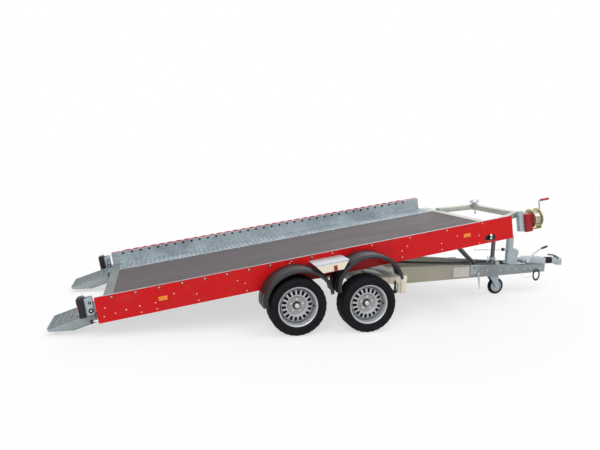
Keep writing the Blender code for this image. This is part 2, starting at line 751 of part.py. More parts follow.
def build_cylinder():
    """Barrel and rod along their own X, turned up from the lower pin to the upper pin."""
    low = Vector((CYL_LOW_STATION, 0, CYL_LOW_HEIGHT))
    reach = high_eye() - low
    foot = frame("cylinder_foot", CHASSIS, low, (0, -math.atan2(reach.z, reach.x), 0))
    barrel = piece("cylinder_barrel", rod((0, 0, 0), (CYL_BARREL, 0, 0), CYL_RADIUS, 20),
                   "black_steel", foot, smooth=True)
    trim = 2 * CYL_RADIUS
    for side in SIDES.values():
        cheek = block((-trim, EYE_RADIUS * 2), side_span(side, EYE_HALF, trim), (-trim, trim))
        cut(barrel, cheek)
    join(barrel, rod((0, -EYE_HALF, 0), (0, EYE_HALF, 0), EYE_RADIUS, 20))
    cut(barrel, rod((0, -trim, 0), (0, trim, 0), PIN_RADIUS + RUNNING_GAP))
    cut(barrel, rod((CYL_BORE_START, 0, 0), (CYL_BARREL + CUT_OVERRUN, 0, 0),
                    ROD_RADIUS + RUNNING_GAP))
    length = reach.length
    stem = piece("cylinder_rod", rod((CYL_BARREL - ROD_TAIL, 0, 0), (length, 0, 0), ROD_RADIUS),
                 "rim_silver", foot, smooth=True)
    join(stem, rod((length, -EYE_HALF, 0), (length, EYE_HALF, 0), EYE_RADIUS, 20))


def build_jockey():
    seat = frame("jockey_seat", CHASSIS, (JOCKEY_STATION, JOCKEY_SIDE, 0))
    tube = piece("jockey_tube",
                 rod((0, 0, JOCKEY_TUBE_BOTTOM), (0, 0, JOCKEY_TUBE_TOP), JOCKEY_TUBE_RADIUS, 20),
                 "black_steel", seat)
    flange_outer = -beam_side(JOCKEY_STATION) - JOCKEY_SIDE
    foot_top = beam_top(JOCKEY_STATION - JOCKEY_CLAMP_HALF) + GAP
    foot_inner = flange_outer + JOCKEY_CLAMP_INSET + BEAM_WALL
    clamp = [
        (flange_outer + GAP, foot_top), (foot_inner, foot_top), (foot_inner, JOCKEY_CLAMP_FOOT),
        (0, JOCKEY_CLAMP_FOOT), (0, JOCKEY_CLAMP_TOP), (flange_outer + GAP, JOCKEY_CLAMP_TOP),
    ]
    join(tube, plate(clamp, "YZ", (-JOCKEY_CLAMP_HALF, JOCKEY_CLAMP_HALF)))
    bore_top = JOCKEY_TUBE_TOP - FORK_WALL
    cut(tube, rod((0, 0, JOCKEY_TUBE_BOTTOM - CUT_OVERRUN), (0, 0, bore_top),
                  JOCKEY_INNER_RADIUS + RUNNING_GAP, 20))
    join(tube, rod((0, 0, JOCKEY_TUBE_TOP - FORK_WALL / 2), (0, 0, JOCKEY_CRANK_HEIGHT),
                   JOCKEY_INNER_RADIUS / 2))
    join(tube, rod((JOCKEY_TUBE_RADIUS, 0, JOCKEY_CRANK_HEIGHT),
                   (-JOCKEY_CRANK_REACH, 0, JOCKEY_CRANK_HEIGHT), JOCKEY_INNER_RADIUS * 0.7))

    inner = piece("jockey_inner", rod((0, 0, FORK_TOP - FORK_WALL / 2), (0, 0, JOCKEY_INNER_TOP),
                                      JOCKEY_INNER_RADIUS, 20), "galvanised", seat)
    half = JOCKEY_WHEEL_WIDTH / 2 + FORK_GAP
    join(inner, block((-FORK_REAR, JOCKEY_TRAIL + FORK_REAR / 2),
                      (-half - FORK_WALL, half + FORK_WALL), (FORK_TOP - FORK_WALL, FORK_TOP)))
    toe = JOCKEY_HUB_HEIGHT - FORK_REAR / 3
    for side in SIDES.values():
        blade = [
            (-FORK_REAR, FORK_TOP - FORK_WALL / 2), (JOCKEY_TRAIL - FORK_REAR / 2, toe),
            (JOCKEY_TRAIL + FORK_REAR / 2, toe),
            (JOCKEY_TRAIL + FORK_REAR / 2, FORK_TOP - FORK_WALL / 2),
        ]
        join(inner, plate(blade, "XZ", side_span(side, half, half + FORK_WALL)))
    reach = half + FORK_WALL / 2
    join(inner, rod((JOCKEY_TRAIL, -reach, JOCKEY_HUB_HEIGHT),
                    (JOCKEY_TRAIL, reach, JOCKEY_HUB_HEIGHT), PIN_RADIUS))

    hub = frame("jockey_hub", seat, (JOCKEY_TRAIL, 0, JOCKEY_HUB_HEIGHT))
    width = JOCKEY_WHEEL_WIDTH / 2
    bore = PIN_RADIUS + RUNNING_GAP
    profile = [
        (bore, width), (bore * 2.6, width), (bore * 3, width * 0.55),
        (JOCKEY_WHEEL_RADIUS * 0.66, width * 0.55), (JOCKEY_WHEEL_RADIUS * 0.70, width * 0.95),
        (JOCKEY_WHEEL_RADIUS * 0.90, width * 0.90), (JOCKEY_WHEEL_RADIUS, width * 0.55),
    ]
    profile += [(radius, -place) for radius, place in reversed(profile)]
    wheel = turned(profile, JOCKEY_SEGMENTS, first_turn=wheel_turn(JOCKEY_SEGMENTS))
    piece("jockey_wheel", wheel, "tyre_rubber", hub, smooth=True)


def build_latch():
    base_bottom = beam_top(LATCH_BASE_REAR) + GAP
    base_top = base_bottom + LATCH_BASE_PLATE
    half_rear = min(beam_side(LATCH_BASE_REAR), LATCH_BASE_HALF)
    half_front = beam_side(LATCH_BASE_FRONT)
    base = [(LATCH_BASE_REAR, -half_rear), (LATCH_BASE_FRONT, -half_front),
            (LATCH_BASE_FRONT, half_front), (LATCH_BASE_REAR, half_rear)]
    made = piece("latch_post", plate(base, "XY", (base_bottom, base_top)), "galvanised", CHASSIS)
    front = LATCH_STATION + LATCH_WIDTH
    nose = ROLLER_STATION + ROLLER_RADIUS / 2
    outline = [
        (LATCH_STATION, base_top - LATCH_BASE_PLATE / 2), (nose, base_top - LATCH_BASE_PLATE / 2),
        (nose, ROLLER_HEIGHT + ROLLER_RADIUS / 3), (front, LATCH_SHOULDER),
        (front, LATCH_TOP), (LATCH_STATION, LATCH_TOP),
    ]
    for side in SIDES.values():
        join(made, plate(outline, "XZ", side_span(side, LATCH_INNER, LATCH_INNER + LATCH_PLATE)))
    web = (LATCH_STATION, LATCH_STATION + LATCH_PLATE)
    across = LATCH_INNER + LATCH_PLATE / 2
    join(made, block(web, (-across, across),
                     (base_top - LATCH_BASE_PLATE / 2, LATCH_TOP - LATCH_WIDTH)))
    join(made, rod((ROLLER_STATION, -across, ROLLER_HEIGHT),
                   (ROLLER_STATION, across, ROLLER_HEIGHT), PIN_RADIUS))
    bore = PIN_RADIUS + GAP
    profile = [(bore, ROLLER_HALF)]
    profile += [(ROLLER_RADIUS * out, ROLLER_HALF * up) for out, up in ROLLER_SHARES]
    profile += [(bore, -ROLLER_HALF)]
    piece("latch_roller", turned(profile, 16), "nylon", CHASSIS,
          at=(ROLLER_STATION, 0, ROLLER_HEIGHT), smooth=True)
    end = LATCH_STATION - GAP
    pull = piece("latch_pull_rod", rod((PULL_ROD_REAR, 0, PULL_ROD_HEIGHT),
                                       (end, 0, PULL_ROD_HEIGHT), PULL_ROD_RADIUS, 12),
                 "galvanised", CHASSIS)
    join(pull, rod((end - PULL_KNOB_LENGTH, 0, PULL_ROD_HEIGHT), (end, 0, PULL_ROD_HEIGHT),
                   PULL_KNOB_RADIUS, 16))


def build_overrun():
    rear_bottom = beam_top(OVERRUN_REAR) + GAP
    front_bottom = beam_top(OVERRUN_FRONT) + GAP
    outline = [
        (OVERRUN_REAR, rear_bottom), (OVERRUN_FRONT, front_bottom),
        (OVERRUN_FRONT, OVERRUN_NOSE), (OVERRUN_FRONT - OVERRUN_HALF, OVERRUN_TOP),
        (OVERRUN_REAR + OVERRUN_HALF, OVERRUN_TOP), (OVERRUN_REAR, OVERRUN_TAIL),
    ]
    piece("overrun_housing", plate(outline, "XZ", (-OVERRUN_HALF, OVERRUN_HALF)),
          "galvanised", CHASSIS)

    start = OVERRUN_FRONT + GAP
    profile = [(0, 0)]
    step = (BELLOWS_LENGTH - GAP * 2) / (2 * BELLOWS_FOLDS)
    for i in range(2 * BELLOWS_FOLDS + 1):
        radius = BELLOWS_RADIUS - (BELLOWS_GROOVE if i % 2 else 0)
        profile.append((radius, i * step))
    profile.append((0, 2 * BELLOWS_FOLDS * step))
    piece("coupling_bellows", turned(profile, BELLOWS_SEGMENTS, "X"), "black_plastic", CHASSIS,
          at=(start, 0, SHAFT_LINE))

    rear = start + BELLOWS_LENGTH - GAP
    ball = COUPLING_TIP - HEAD_RADIUS
    neck = block((rear, ball), (-NECK_HALF, NECK_HALF), (NECK_BOTTOM, NECK_TOP))
    head = piece("coupling_head", neck, "galvanised", CHASSIS)
    dome = [
        (0, HEAD_BOTTOM), (HEAD_RADIUS, HEAD_BOTTOM), (HEAD_RADIUS, SHAFT_LINE),
        (HEAD_RADIUS * 0.86, HEAD_TOP - HEAD_CROWN), (HEAD_RADIUS * 0.6, HEAD_TOP), (0, HEAD_TOP),
    ]
    join(head, turned(dome, 24, "Z"), at=(ball, 0, 0))
    cut(head, rod((ball, 0, HEAD_BOTTOM - CUT_OVERRUN), (ball, 0, HEAD_BOTTOM + SOCKET_DEPTH),
                  SOCKET_RADIUS, 24))


def build_brake_lever():
    route = [Vector((OVERRUN_REAR + x, 0, z)) for x, z in LEVER_ROUTE]
    curve = bpy.data.curves.new("lever", "CURVE")
    curve.dimensions = "3D"
    curve.bevel_depth = LEVER_RADIUS
    curve.bevel_resolution = 2
    curve.use_fill_caps = True
    line = curve.splines.new("POLY")
    line.points.add(len(route) - 1)
    for point, place in zip(line.points, route):
        point.co = (*place, 1)
    holder = bpy.data.objects.new("lever", curve)
    shape = welded(holder)
    side = -(OVERRUN_HALF + GAP + LEVER_RADIUS)
    lever = piece("brake_lever", finish_mesh(shape, "lever"), "galvanised", CHASSIS,
                  at=(0, side, 0))
    foot = (route[0].x, -LEVER_RADIUS, route[0].z), (route[0].x, LEVER_RADIUS, route[0].z)
    join(lever, rod(*foot, LEVER_BOSS, 20))


def lashing_holes():
    """The row of round lashing holes under the rail's top edge, drawn across the left rail."""
    height = RAIL_TOP - PROFILE_DROP - LASHING_DROP
    count = int((RAIL_LENGTH - 2 * LASHING_END) / LASHING_PITCH) + 1
    across = Matrix.Rotation(math.pi / 2, 4, "X")
    shape = bmesh.new()
    for number in range(count):
        place = (RAIL_REAR + LASHING_END + number * LASHING_PITCH, RAIL_INNER, height)
        bmesh.ops.create_cone(shape, cap_ends=True, segments=LASHING_SIDES,
                              radius1=LASHING_RADIUS, radius2=LASHING_RADIUS,
                              depth=RAIL_SHEET * 4, matrix=Matrix.Translation(place) @ across)
    return finish_mesh(shape, "lashing_holes")


def hand_slot():
    """The oblong hole near the front of the right rail."""
    radius = HAND_SLOT_HEIGHT / 2
    height = RAIL_BOTTOM + HAND_SLOT_LIFT
    front = RAIL_FRONT - HAND_SLOT_END + HAND_SLOT_LENGTH / 2 - radius
    rear = RAIL_FRONT - HAND_SLOT_END - HAND_SLOT_LENGTH / 2 + radius
    span = side_span(SIDES["right"], RAIL_INNER - CUT_OVERRUN, RAIL_OUTER + CUT_OVERRUN)
    return capsule((rear, height), (front, height), radius, span)


def build_side_rails():
    for word, side in SIDES.items():
        sheet = side_span(side, RAIL_OUTER - RAIL_SHEET, RAIL_OUTER)
        panel = block((RAIL_REAR, RAIL_FRONT), sheet, (RAIL_BOTTOM, RAIL_TOP))
        cover = piece(f"side_panel_{word}", panel, "red_paint", BED)
        outer = RAIL_OUTER - RAIL_SHEET - GAP
        web = RAIL_INNER + RAIL_SHEET
        top = RAIL_TOP - PROFILE_DROP
        section = [
            (outer, RAIL_BOTTOM), (outer, RAIL_BOTTOM + RAIL_SHEET),
            (web, RAIL_BOTTOM + RAIL_SHEET), (web, top - RAIL_SHEET),
            (outer, top - RAIL_SHEET), (outer, top), (RAIL_INNER, top), (RAIL_INNER, RAIL_BOTTOM),
        ]
        profile = plate([(side * y, z) for y, z in section], "YZ", (RAIL_REAR, RAIL_FRONT))
        rail = piece(f"side_profile_{word}", profile, "galvanised", BED)
        cut(rail, mirrored(lashing_holes(), side))
        if word == "right":
            cut(cover, hand_slot())
            cut(rail, hand_slot())


def build_floor():
    piece("floor_panel", block((FLOOR_REAR, RAIL_FRONT), (-FLOOR_HALF_WIDTH, FLOOR_HALF_WIDTH),
                               (FLOOR_BOTTOM, FLOOR_TOP)), "plywood", BED)
    inner = FLOOR_HALF_WIDTH + GAP
    outer = RAIL_INNER - GAP
    for word, side in SIDES.items():
        section = [
            (inner, FLOOR_BOTTOM), (inner, FLOOR_TOP), (outer, FLOOR_TOP), (outer, FLOOR_BOTTOM),
            (outer - TRACK_SHEET, FLOOR_BOTTOM), (outer - TRACK_SHEET, FLOOR_TOP - TRACK_SHEET),
            (inner + TRACK_SHEET, FLOOR_TOP - TRACK_SHEET), (inner + TRACK_SHEET, FLOOR_BOTTOM),
        ]
        track = plate([(side * y, z) for y, z in section], "YZ", (FLOOR_REAR, RAIL_FRONT))
        piece(f"track_plate_{word}", track, "galvanised", BED)


def channel_section(rear, front, bottom, top, wall):
    """A cross member's section, open to the rear."""
    return [(rear, top), (rear, top - wall), (front - wall, top - wall),
            (front - wall, bottom + wall), (rear, bottom + wall), (rear, bottom),
            (front, bottom), (front, top)]


def build_cross_members():
    half = RAIL_INNER - GAP
    rear_end = (RAIL_REAR, RAIL_REAR + REAR_BEAM_LENGTH)
    rear = piece("rear_beam", block(rear_end, (-half, half), (RAIL_BOTTOM, FLOOR_TOP)),
                 "galvanised", BED)
    hinge_x = RAIL_REAR - RAMP_HINGE_GAP
    hinge_z = FLOOR_TOP - RAMP_HINGE_DROP
    for side in SIDES.values():
        for end in (-1, 1):
            inner = side * RAMP_CENTRE + end * (KNUCKLE_HALF + KNUCKLE_GAP)
            span = sorted((inner, inner + end * KNUCKLE_LENGTH))
            join(rear, rod((hinge_x, span[0], hinge_z), (hinge_x, span[1], hinge_z),
                           RAMP_HINGE_RADIUS, 12))
            web = (span[0] + KNUCKLE_INSET, span[1] - KNUCKLE_INSET)
            thick = (hinge_z - RAMP_HINGE_RADIUS * 0.7, hinge_z + RAMP_HINGE_RADIUS * 0.3)
            join(rear, block((hinge_x, RAIL_REAR + KNUCKLE_INSET), web, thick))
    front_end = (RAIL_FRONT + GAP, RAIL_FRONT + GAP + FRONT_BEAM_LENGTH)
    piece("front_beam", block(front_end, (-RAIL_OUTER, RAIL_OUTER), (RAIL_BOTTOM, FLOOR_TOP)),
          "galvanised", BED)
    for word, station in CROSS_STATIONS.items():
        section = channel_section(station - CROSS_WIDTH / 2, station + CROSS_WIDTH / 2,
                                  CROSS_BOTTOM, CROSS_TOP, CROSS_WALL)
        piece(f"cross_member_{word}", plate(section, "XZ", (-half, half)), "galvanised", BED)
    section = channel_section(-CROSS_WIDTH / 2, CROSS_WIDTH / 2, CROSS_BOTTOM, CROSS_TOP,
                              CROSS_WALL)
    pivot = piece("pivot_cross_member", plate(section, "XZ", (-half, half)), "galvanised", BED)
    for side in SIDES.values():
        span = side_span(side, EAR_INNER, EAR_INNER + EAR_THICK)
        join(pivot, capsule((0, CROSS_BOTTOM), (0, 0), EAR_RADIUS, span, 8))
    reach = EAR_INNER + EAR_THICK * 2
    cut(pivot, rod((0, -reach, 0), (0, reach, 0), SHAFT_RADIUS + RUNNING_GAP, 20))

    cheek_reach = EYE_RADIUS + CLEVIS_THICK
    front = CYL_HIGH_STATION - EYE_ROOM
    section = channel_section(front - CROSS_WIDTH, front, CROSS_BOTTOM, CROSS_TOP, CROSS_WALL)
    lift = piece("lift_cross_member", plate(section, "XZ", (-half, half)), "galvanised", BED)
    inner = EYE_HALF + CLEVIS_GAP
    for side in SIDES.values():
        cheek = block((front - CROSS_WALL / 2, CYL_HIGH_STATION + cheek_reach),
                      side_span(side, inner, inner + CLEVIS_THICK),
                      (CYL_HIGH_HEIGHT - cheek_reach, CROSS_TOP - CROSS_WALL))
        join(lift, cheek)


def build_hoop():
    beam_face = RAIL_FRONT + GAP + FRONT_BEAM_LENGTH + GAP
    bar_face = beam_face + HOOP_REACH
    half = HOOP_TUBE / 2
    z_span = (HOOP_TOP - HOOP_TUBE, HOOP_TOP)
    for word, side in SIDES.items():
        ends = (beam_face, HOOP_REAR_SPREAD), (bar_face, HOOP_FRONT_SPREAD)
        outline = [(x, side * (spread - half)) for x, spread in ends]
        outline += [(x, side * (spread + half)) for x, spread in reversed(ends)]
        piece(f"hoop_arm_{word}", plate(outline, "XY", z_span), "galvanised", BED)
    reach = HOOP_FRONT_SPREAD + half + BAR_OVERHANG
    bar = (bar_face + GAP, bar_face + GAP + HOOP_TUBE)
    made = piece("hoop_bar", block(bar, (-reach, reach), z_span), "galvanised", BED)
    middle = sum(bar) / 2
    low = HOOP_TOP - HOOP_TUBE - PULLEY_STEM_DROP
    crown = HOOP_TOP + PULLEY_HEIGHT
    stem = [
        (0, low), (PULLEY_STEM_RADIUS, low), (PULLEY_STEM_RADIUS, HOOP_TOP + GAP),
        (PULLEY_RADIUS, HOOP_TOP + GAP), (PULLEY_RADIUS, HOOP_TOP + PULLEY_HEIGHT * 0.55),
        (PULLEY_RADIUS * 0.7, crown), (0, crown),
    ]
    join(made, turned(stem, 16, "Z"), at=(middle, PULLEY_SPREAD, 0))
    return bar, reach


def build_winch(bar, reach):
    half = HOOP_TUBE / 2
    side = -(reach + GAP + half)
    post = block(bar, (side - half, side + half), (POST_BOTTOM, POST_TOP))
    piece("winch_post", post, "galvanised", BED)

    rear = bar[1] + GAP
    front = rear + COVER_LENGTH
    wide = COVER_WIDTH / 2
    cover = piece("winch_cover", block((rear, front), (side - wide, side + wide),
                                       (COVER_BOTTOM, COVER_TOP), COVER_ROUND), "winch_red", BED)
    drum_rear = front + DRUM_GAP
    drum_length = WOUND_LENGTH + 2 * FLANGE_WALL
    plate_rear = drum_rear + drum_length + DRUM_GAP
    tie_top = WINCH_HEIGHT - FLANGE_RADIUS - DRUM_GAP
    tie_bottom = tie_top - WINCH_PLATE * 2
    tie = block((front - COVER_ROUND * 2, plate_rear + WINCH_PLATE / 2),
                (side - wide + COVER_ROUND, side + wide - COVER_ROUND), (tie_bottom, tie_top))
    join(cover, tie)
    join(cover, block((plate_rear, plate_rear + WINCH_PLATE),
                      (side - wide + COVER_ROUND, side + wide - COVER_ROUND),
                      (tie_bottom, WINCH_HEIGHT + CRANK_BOSS)))
    bore = PIN_RADIUS + RUNNING_GAP
    bore_span = (front - COVER_ROUND, plate_rear + WINCH_PLATE + CUT_OVERRUN)
    cut(cover, rod((bore_span[0], side, WINCH_HEIGHT), (bore_span[1], side, WINCH_HEIGHT), bore))
    cut(cover, rod((plate_rear - DRUM_GAP / 2, side, CRANK_HEIGHT),
                   (bore_span[1], side, CRANK_HEIGHT), CRANK_ROD + RUNNING_GAP))

    hub = frame("winch_drum_axis", BED, (drum_rear, side, WINCH_HEIGHT))
    tail = -DRUM_GAP - COVER_ROUND * 0.6
    tip = drum_length + DRUM_GAP + WINCH_PLATE
    wound_end = FLANGE_WALL + WOUND_LENGTH
    profile = [
        (0, tail), (PIN_RADIUS, tail), (PIN_RADIUS, 0), (FLANGE_RADIUS, 0),
        (FLANGE_RADIUS, FLANGE_WALL), (WOUND_RADIUS, FLANGE_WALL), (WOUND_RADIUS, wound_end),
        (FLANGE_RADIUS, wound_end), (FLANGE_RADIUS, drum_length), (PIN_RADIUS, drum_length),
        (PIN_RADIUS, tip), (0, tip),
    ]
    piece("winch_drum", turned(profile, WINCH_SEGMENTS, "X"), "yellow_zinc", hub, smooth=True)

    plane = plate_rear + WINCH_PLATE + CRANK_BOSS
    axis = frame("winch_crank_axis", BED, (plane, side, CRANK_HEIGHT))
    stub = rod((-CRANK_BOSS - WINCH_PLATE, 0, 0), (CRANK_ROD, 0, 0), CRANK_ROD)
    crank = piece("winch_crank", stub, "galvanised", axis)
    join(crank, rod((-CRANK_BOSS / 2, 0, 0), (CRANK_ROD * 1.5, 0, 0), CRANK_BOSS * 0.8, 12))
    join(crank, rod((0, 0, 0), (0, 0, CRANK_LENGTH + CRANK_ROD), CRANK_ROD, 10))
    join(crank, rod((-CRANK_ROD, 0, CRANK_LENGTH), (GRIP_RADIUS * 2, 0, CRANK_LENGTH),
                    CRANK_ROD * 0.8, 10))
    join(crank, rod((GRIP_RADIUS, 0, CRANK_LENGTH), (GRIP_RADIUS + GRIP_LENGTH, 0, CRANK_LENGTH),
                    GRIP_RADIUS, 12))


def guard_profile():
    """Guard section on the left side, in radius and distance from the rail's face."""
    inner = 0.0
    outer = GUARD_OUTER - RAIL_OUTER - GAP
    outside = [(GUARD_RADIUS, inner), (GUARD_RADIUS, outer - GUARD_ROUND)]
    steps = 2
    for i in range(1, steps + 1):
        angle = math.pi / 2 * i / steps
        outside.append((GUARD_RADIUS - GUARD_ROUND * (1 - math.cos(angle)),
                        outer - GUARD_ROUND * (1 - math.sin(angle))))
    outside.append((GUARD_RADIUS - GUARD_LIP, outer))
    inside = []
    for i, (radius, place) in enumerate(outside):
        if i == 0:
            inside.append((radius - GUARD_WALL, place))
        elif i == len(outside) - 1:
            inside.append((radius, place - GUARD_WALL))
        elif i == 1:
            inside.append((radius - GUARD_WALL, place))
        else:
            angle = math.pi / 2 * (i - 1) / steps
            inside.append((radius - GUARD_WALL * math.cos(angle),
                           place - GUARD_WALL * math.sin(angle)))
    return outside + inside[::-1]


def build_guards():
    for word, station in (("rear", -GUARD_STATION), ("front", GUARD_STATION)):
        for side_word, side in SIDES.items():
            arc = turned(guard_profile(), GUARD_SEGMENTS, "Y",
                         (-GUARD_ENDS[1], -GUARD_ENDS[0]))
            arc.transform(Matrix.Diagonal((1, 1, GUARD_FLAT_SHARE, 1)))
            guard = mirrored(arc, side)
            piece(f"mudguard_{word}_{side_word}", guard, "black_plastic", BED,
                  at=(station, side * (RAIL_OUTER + GAP), GUARD_HEIGHT), smooth=True)
    for word, side in SIDES.items():
        inner, outer = RAIL_OUTER + GAP, GUARD_OUTER
        outline = [
            (-STEP_TOP_HALF, STEP_TOP), (STEP_TOP_HALF, STEP_TOP),
            (STEP_BOTTOM_HALF, STEP_BOTTOM), (-STEP_BOTTOM_HALF, STEP_BOTTOM),
        ]
        made = piece(f"step_plate_{word}", plate(outline, "XZ", side_span(side, inner, outer)),
                     "galvanised", BED)
        reach = STEP_TOP_HALF + CUT_OVERRUN
        cut(made, block((-reach, reach), side_span(side, inner + STEP_SHEET, outer - STEP_SHEET),
                        (STEP_BOTTOM - CUT_OVERRUN, STEP_TOP - STEP_SHEET)))


def build_ramps():
    hinge = (RAIL_REAR - RAMP_HINGE_GAP, FLOOR_TOP - RAMP_HINGE_DROP)
    root = hinge[0] - RAMP_SET_BACK
    outline = [
        (root, FLOOR_TOP - RAMP_SHEET), (RAMP_TIP, RAMP_TIP_TOP),
        (RAMP_TIP + RAMP_SHEET * 2, RAMP_TIP_BOTTOM),
        (RAIL_REAR - RAMP_KNEE_REACH, RAMP_KNEE_BOTTOM), (root, RAMP_ROOT_BOTTOM),
    ]
    outline = [(x - hinge[0], z - hinge[1]) for x, z in outline]
    room = inset(outline, RAMP_SHEET)
    hollow = room[:2] + [(x, z - RAMP_ROOT_BOTTOM) for x, z in room[2:]]
    half = RAMP_WIDTH / 2
    for word, side in SIDES.items():
        axis = frame(f"ramp_axis_{word}", BED, (hinge[0], side * RAMP_CENTRE, hinge[1]))
        made = piece(f"ramp_{word}", plate(outline, "XZ", (-half, half)), "galvanised", axis)
        cut(made, plate(hollow, "XZ", (-half + RAMP_SHEET, half - RAMP_SHEET)))
        join(made, rod((0, -KNUCKLE_HALF, 0), (0, KNUCKLE_HALF, 0), RAMP_HINGE_RADIUS))
        web = KNUCKLE_HALF - KNUCKLE_INSET
        join(made, block((-RAMP_SET_BACK - RAMP_SHEET / 2, 0), (-web, web),
                         (-RAMP_HINGE_RADIUS / 2, RAMP_HINGE_RADIUS / 2)))


def build_lamps():
    rear = RAIL_REAR - LAMP_STAND_OFF - LAMP_DEPTH
    front = RAIL_REAR - LAMP_STAND_OFF
    for word, side in SIDES.items():
        span = side_span(side, LAMP_INNER, LAMP_INNER + LAMP_WIDTH)
        housing = block((rear, front), span, (LAMP_BOTTOM, LAMP_TOP), LAMP_ROUND)
        made = piece(f"rear_lamp_{word}", housing, "black_plastic", BED)
        foot = side_span(side, LAMP_INNER + LAMP_ROUND, RAIL_INNER - GAP)
        arm = side_span(side, RAIL_INNER - GAP - LAMP_BRACKET, RAIL_INNER - GAP)
        z_span = (LAMP_BOTTOM + LAMP_ROUND, FLOOR_TOP - LAMP_BRACKET)
        join(made, block((RAIL_REAR - GAP - LAMP_BRACKET, RAIL_REAR - GAP), foot, z_span))
        join(made, block((front - LAMP_ROUND, RAIL_REAR - GAP), arm, z_span))


def build():
    build_beams()
    build_pivot_shaft()
    build_axles()
    build_wheels()
    build_outriggers()
    build_crosstie()
    build_cylinder()
    build_jockey()
    build_latch()
    build_overrun()
    build_brake_lever()
    build_side_rails()
    build_floor()
    build_cross_members()
    build_winch(*build_hoop())
    build_guards()
    build_ramps()
    build_lamps()


clear_scene()
PARTS = collection("Tilt car trailer")
CUTTERS = collection("Cutters")
CHASSIS = frame("chassis_frame", None, (SHIFT, 0, 0))
BED = frame("platform_pivot", None, (SHIFT, 0, PIVOT_HEIGHT), (0, -TILT, 0))
build()
bpy.context.view_layer.update()
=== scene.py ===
"""Looks of a tilt car trailer, laid out as an add-on and run as a script.

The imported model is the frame. The chassis stands still, the platform is turned nose
up about its pivot, and each small part is drawn in the frame of what carries it.
"""

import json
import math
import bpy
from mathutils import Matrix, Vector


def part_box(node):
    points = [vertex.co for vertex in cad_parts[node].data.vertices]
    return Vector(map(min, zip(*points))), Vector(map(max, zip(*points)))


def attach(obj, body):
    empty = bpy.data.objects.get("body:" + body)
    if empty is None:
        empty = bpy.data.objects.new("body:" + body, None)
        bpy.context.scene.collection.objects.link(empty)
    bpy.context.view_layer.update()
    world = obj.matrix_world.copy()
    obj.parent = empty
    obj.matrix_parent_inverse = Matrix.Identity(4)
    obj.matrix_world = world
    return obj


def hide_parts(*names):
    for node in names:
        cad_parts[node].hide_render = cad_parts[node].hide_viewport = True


bl_info = {
    "name": "Tilt car trailer looks",
    "version": (1, 0, 0),
    "blender": (4, 5, 0),
    "location": "View3D > Sidebar > Trailer",
    "description": "Dresses the tilt car trailer with its finishes and small parts",
    "category": "Object",
}

import bmesh
import bpy
from bpy.props import FloatProperty, FloatVectorProperty, IntProperty, PointerProperty
from mathutils import Matrix, Vector

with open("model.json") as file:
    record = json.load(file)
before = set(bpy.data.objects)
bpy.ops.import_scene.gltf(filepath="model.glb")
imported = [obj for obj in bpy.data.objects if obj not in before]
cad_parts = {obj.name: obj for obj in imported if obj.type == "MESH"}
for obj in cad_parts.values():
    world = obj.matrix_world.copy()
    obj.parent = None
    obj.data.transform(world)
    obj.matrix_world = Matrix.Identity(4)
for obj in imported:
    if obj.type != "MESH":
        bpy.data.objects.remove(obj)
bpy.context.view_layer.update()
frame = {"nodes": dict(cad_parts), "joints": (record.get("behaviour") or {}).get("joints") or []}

MERGE = 0.00005
HAIR = 0.0005
TUBE_STEPS = 6
SIDES = {"right": -1, "left": 1}
AXLES = ("rear", "front")
IDENTITY = Matrix.Identity(4)

# Frames of the chassis and of the platform, from the joints
JOINTS = {joint["name"]: joint for joint in frame["joints"]}
PIVOT = Vector(JOINTS["platform_tilt"]["pos_m"])
NOSE_UP = Vector(JOINTS["winch_drum_turn"]["axis"])
TILT = math.atan2(NOSE_UP.z, NOSE_UP.x)
CHASSIS = Matrix.Translation((PIVOT.x, 0, 0))
BED = Matrix.Translation(PIVOT) @ Matrix.Rotation(-TILT, 4, "Y")

# Camera of the photograph, in a frame of 600 by 450 pixels
CAMERA_PLACE = Vector((-2.0500, -5.7171, 1.5786))
CAMERA_YAW = math.radians(15.164)
CAMERA_PITCH = math.radians(7.342)
CAMERA_ROLL = math.radians(2.086)
CAMERA_LENS = 33.10
SENSOR_WIDTH = 36.0

# Lights
KEY_TURN = (math.radians(48), 0, math.radians(-28))
TOP_TURN = (math.radians(12), math.radians(20), 0)
FILL_TURN = (math.radians(60), 0, math.radians(150))
KEY_POWER = 1.28
TOP_POWER = 0.70
FILL_POWER = 0.30
SOFTNESS = math.radians(35)
SKY_POWER = 0.58
FLOOR_REACH = 60.0
FLOOR_GLOW = 0.62

# Wheels, as shares up the tyre's wall from the rim's edge and out from its middle
TYRE_WALL_SHARES = ((0.00, 0.79), (0.06, 0.84), (0.13, 0.905), (0.20, 0.945), (0.22, 0.972),
                    (0.27, 0.978), (0.29, 0.960), (0.40, 0.985), (0.52, 0.998), (0.62, 0.998),
                    (0.70, 0.985), (0.78, 0.955), (0.86, 0.905), (0.93, 0.845), (0.975, 0.775),
                    (0.99, 0.70))
SEAT_SHARE = 0.926
BEAD_SHARE = 0.905
TREAD_GROOVE_SHARES = (0.19, 0.52)
GROOVE_HALF_SHARE = 0.045
TYRE_SEGMENTS = 120
SIPE_EVERY = 4
SHOULDER_SIPE_SHARE = 0.45
RIB_SIPE_SHARE = 0.35
RIM_SEGMENTS = 90
RIM_LIP_SHARES = ((0.885, 0.59), (0.905, 0.74), (0.935, 0.89), (0.968, 0.98), (0.992, 1.00),
                  (1.000, 0.965), (1.000, 0.915), (0.922, 0.908), (0.922, -0.908),
                  (1.000, -0.915), (1.000, -0.965), (0.985, -1.000), (0.960, -0.98),
                  (0.905, -0.74), (0.888, -0.59))
DISH_SHARES = ((0.185, 0.155), (0.222, 0.205), (0.30, 0.185), (0.39, 0.165), (0.430, 0.195))
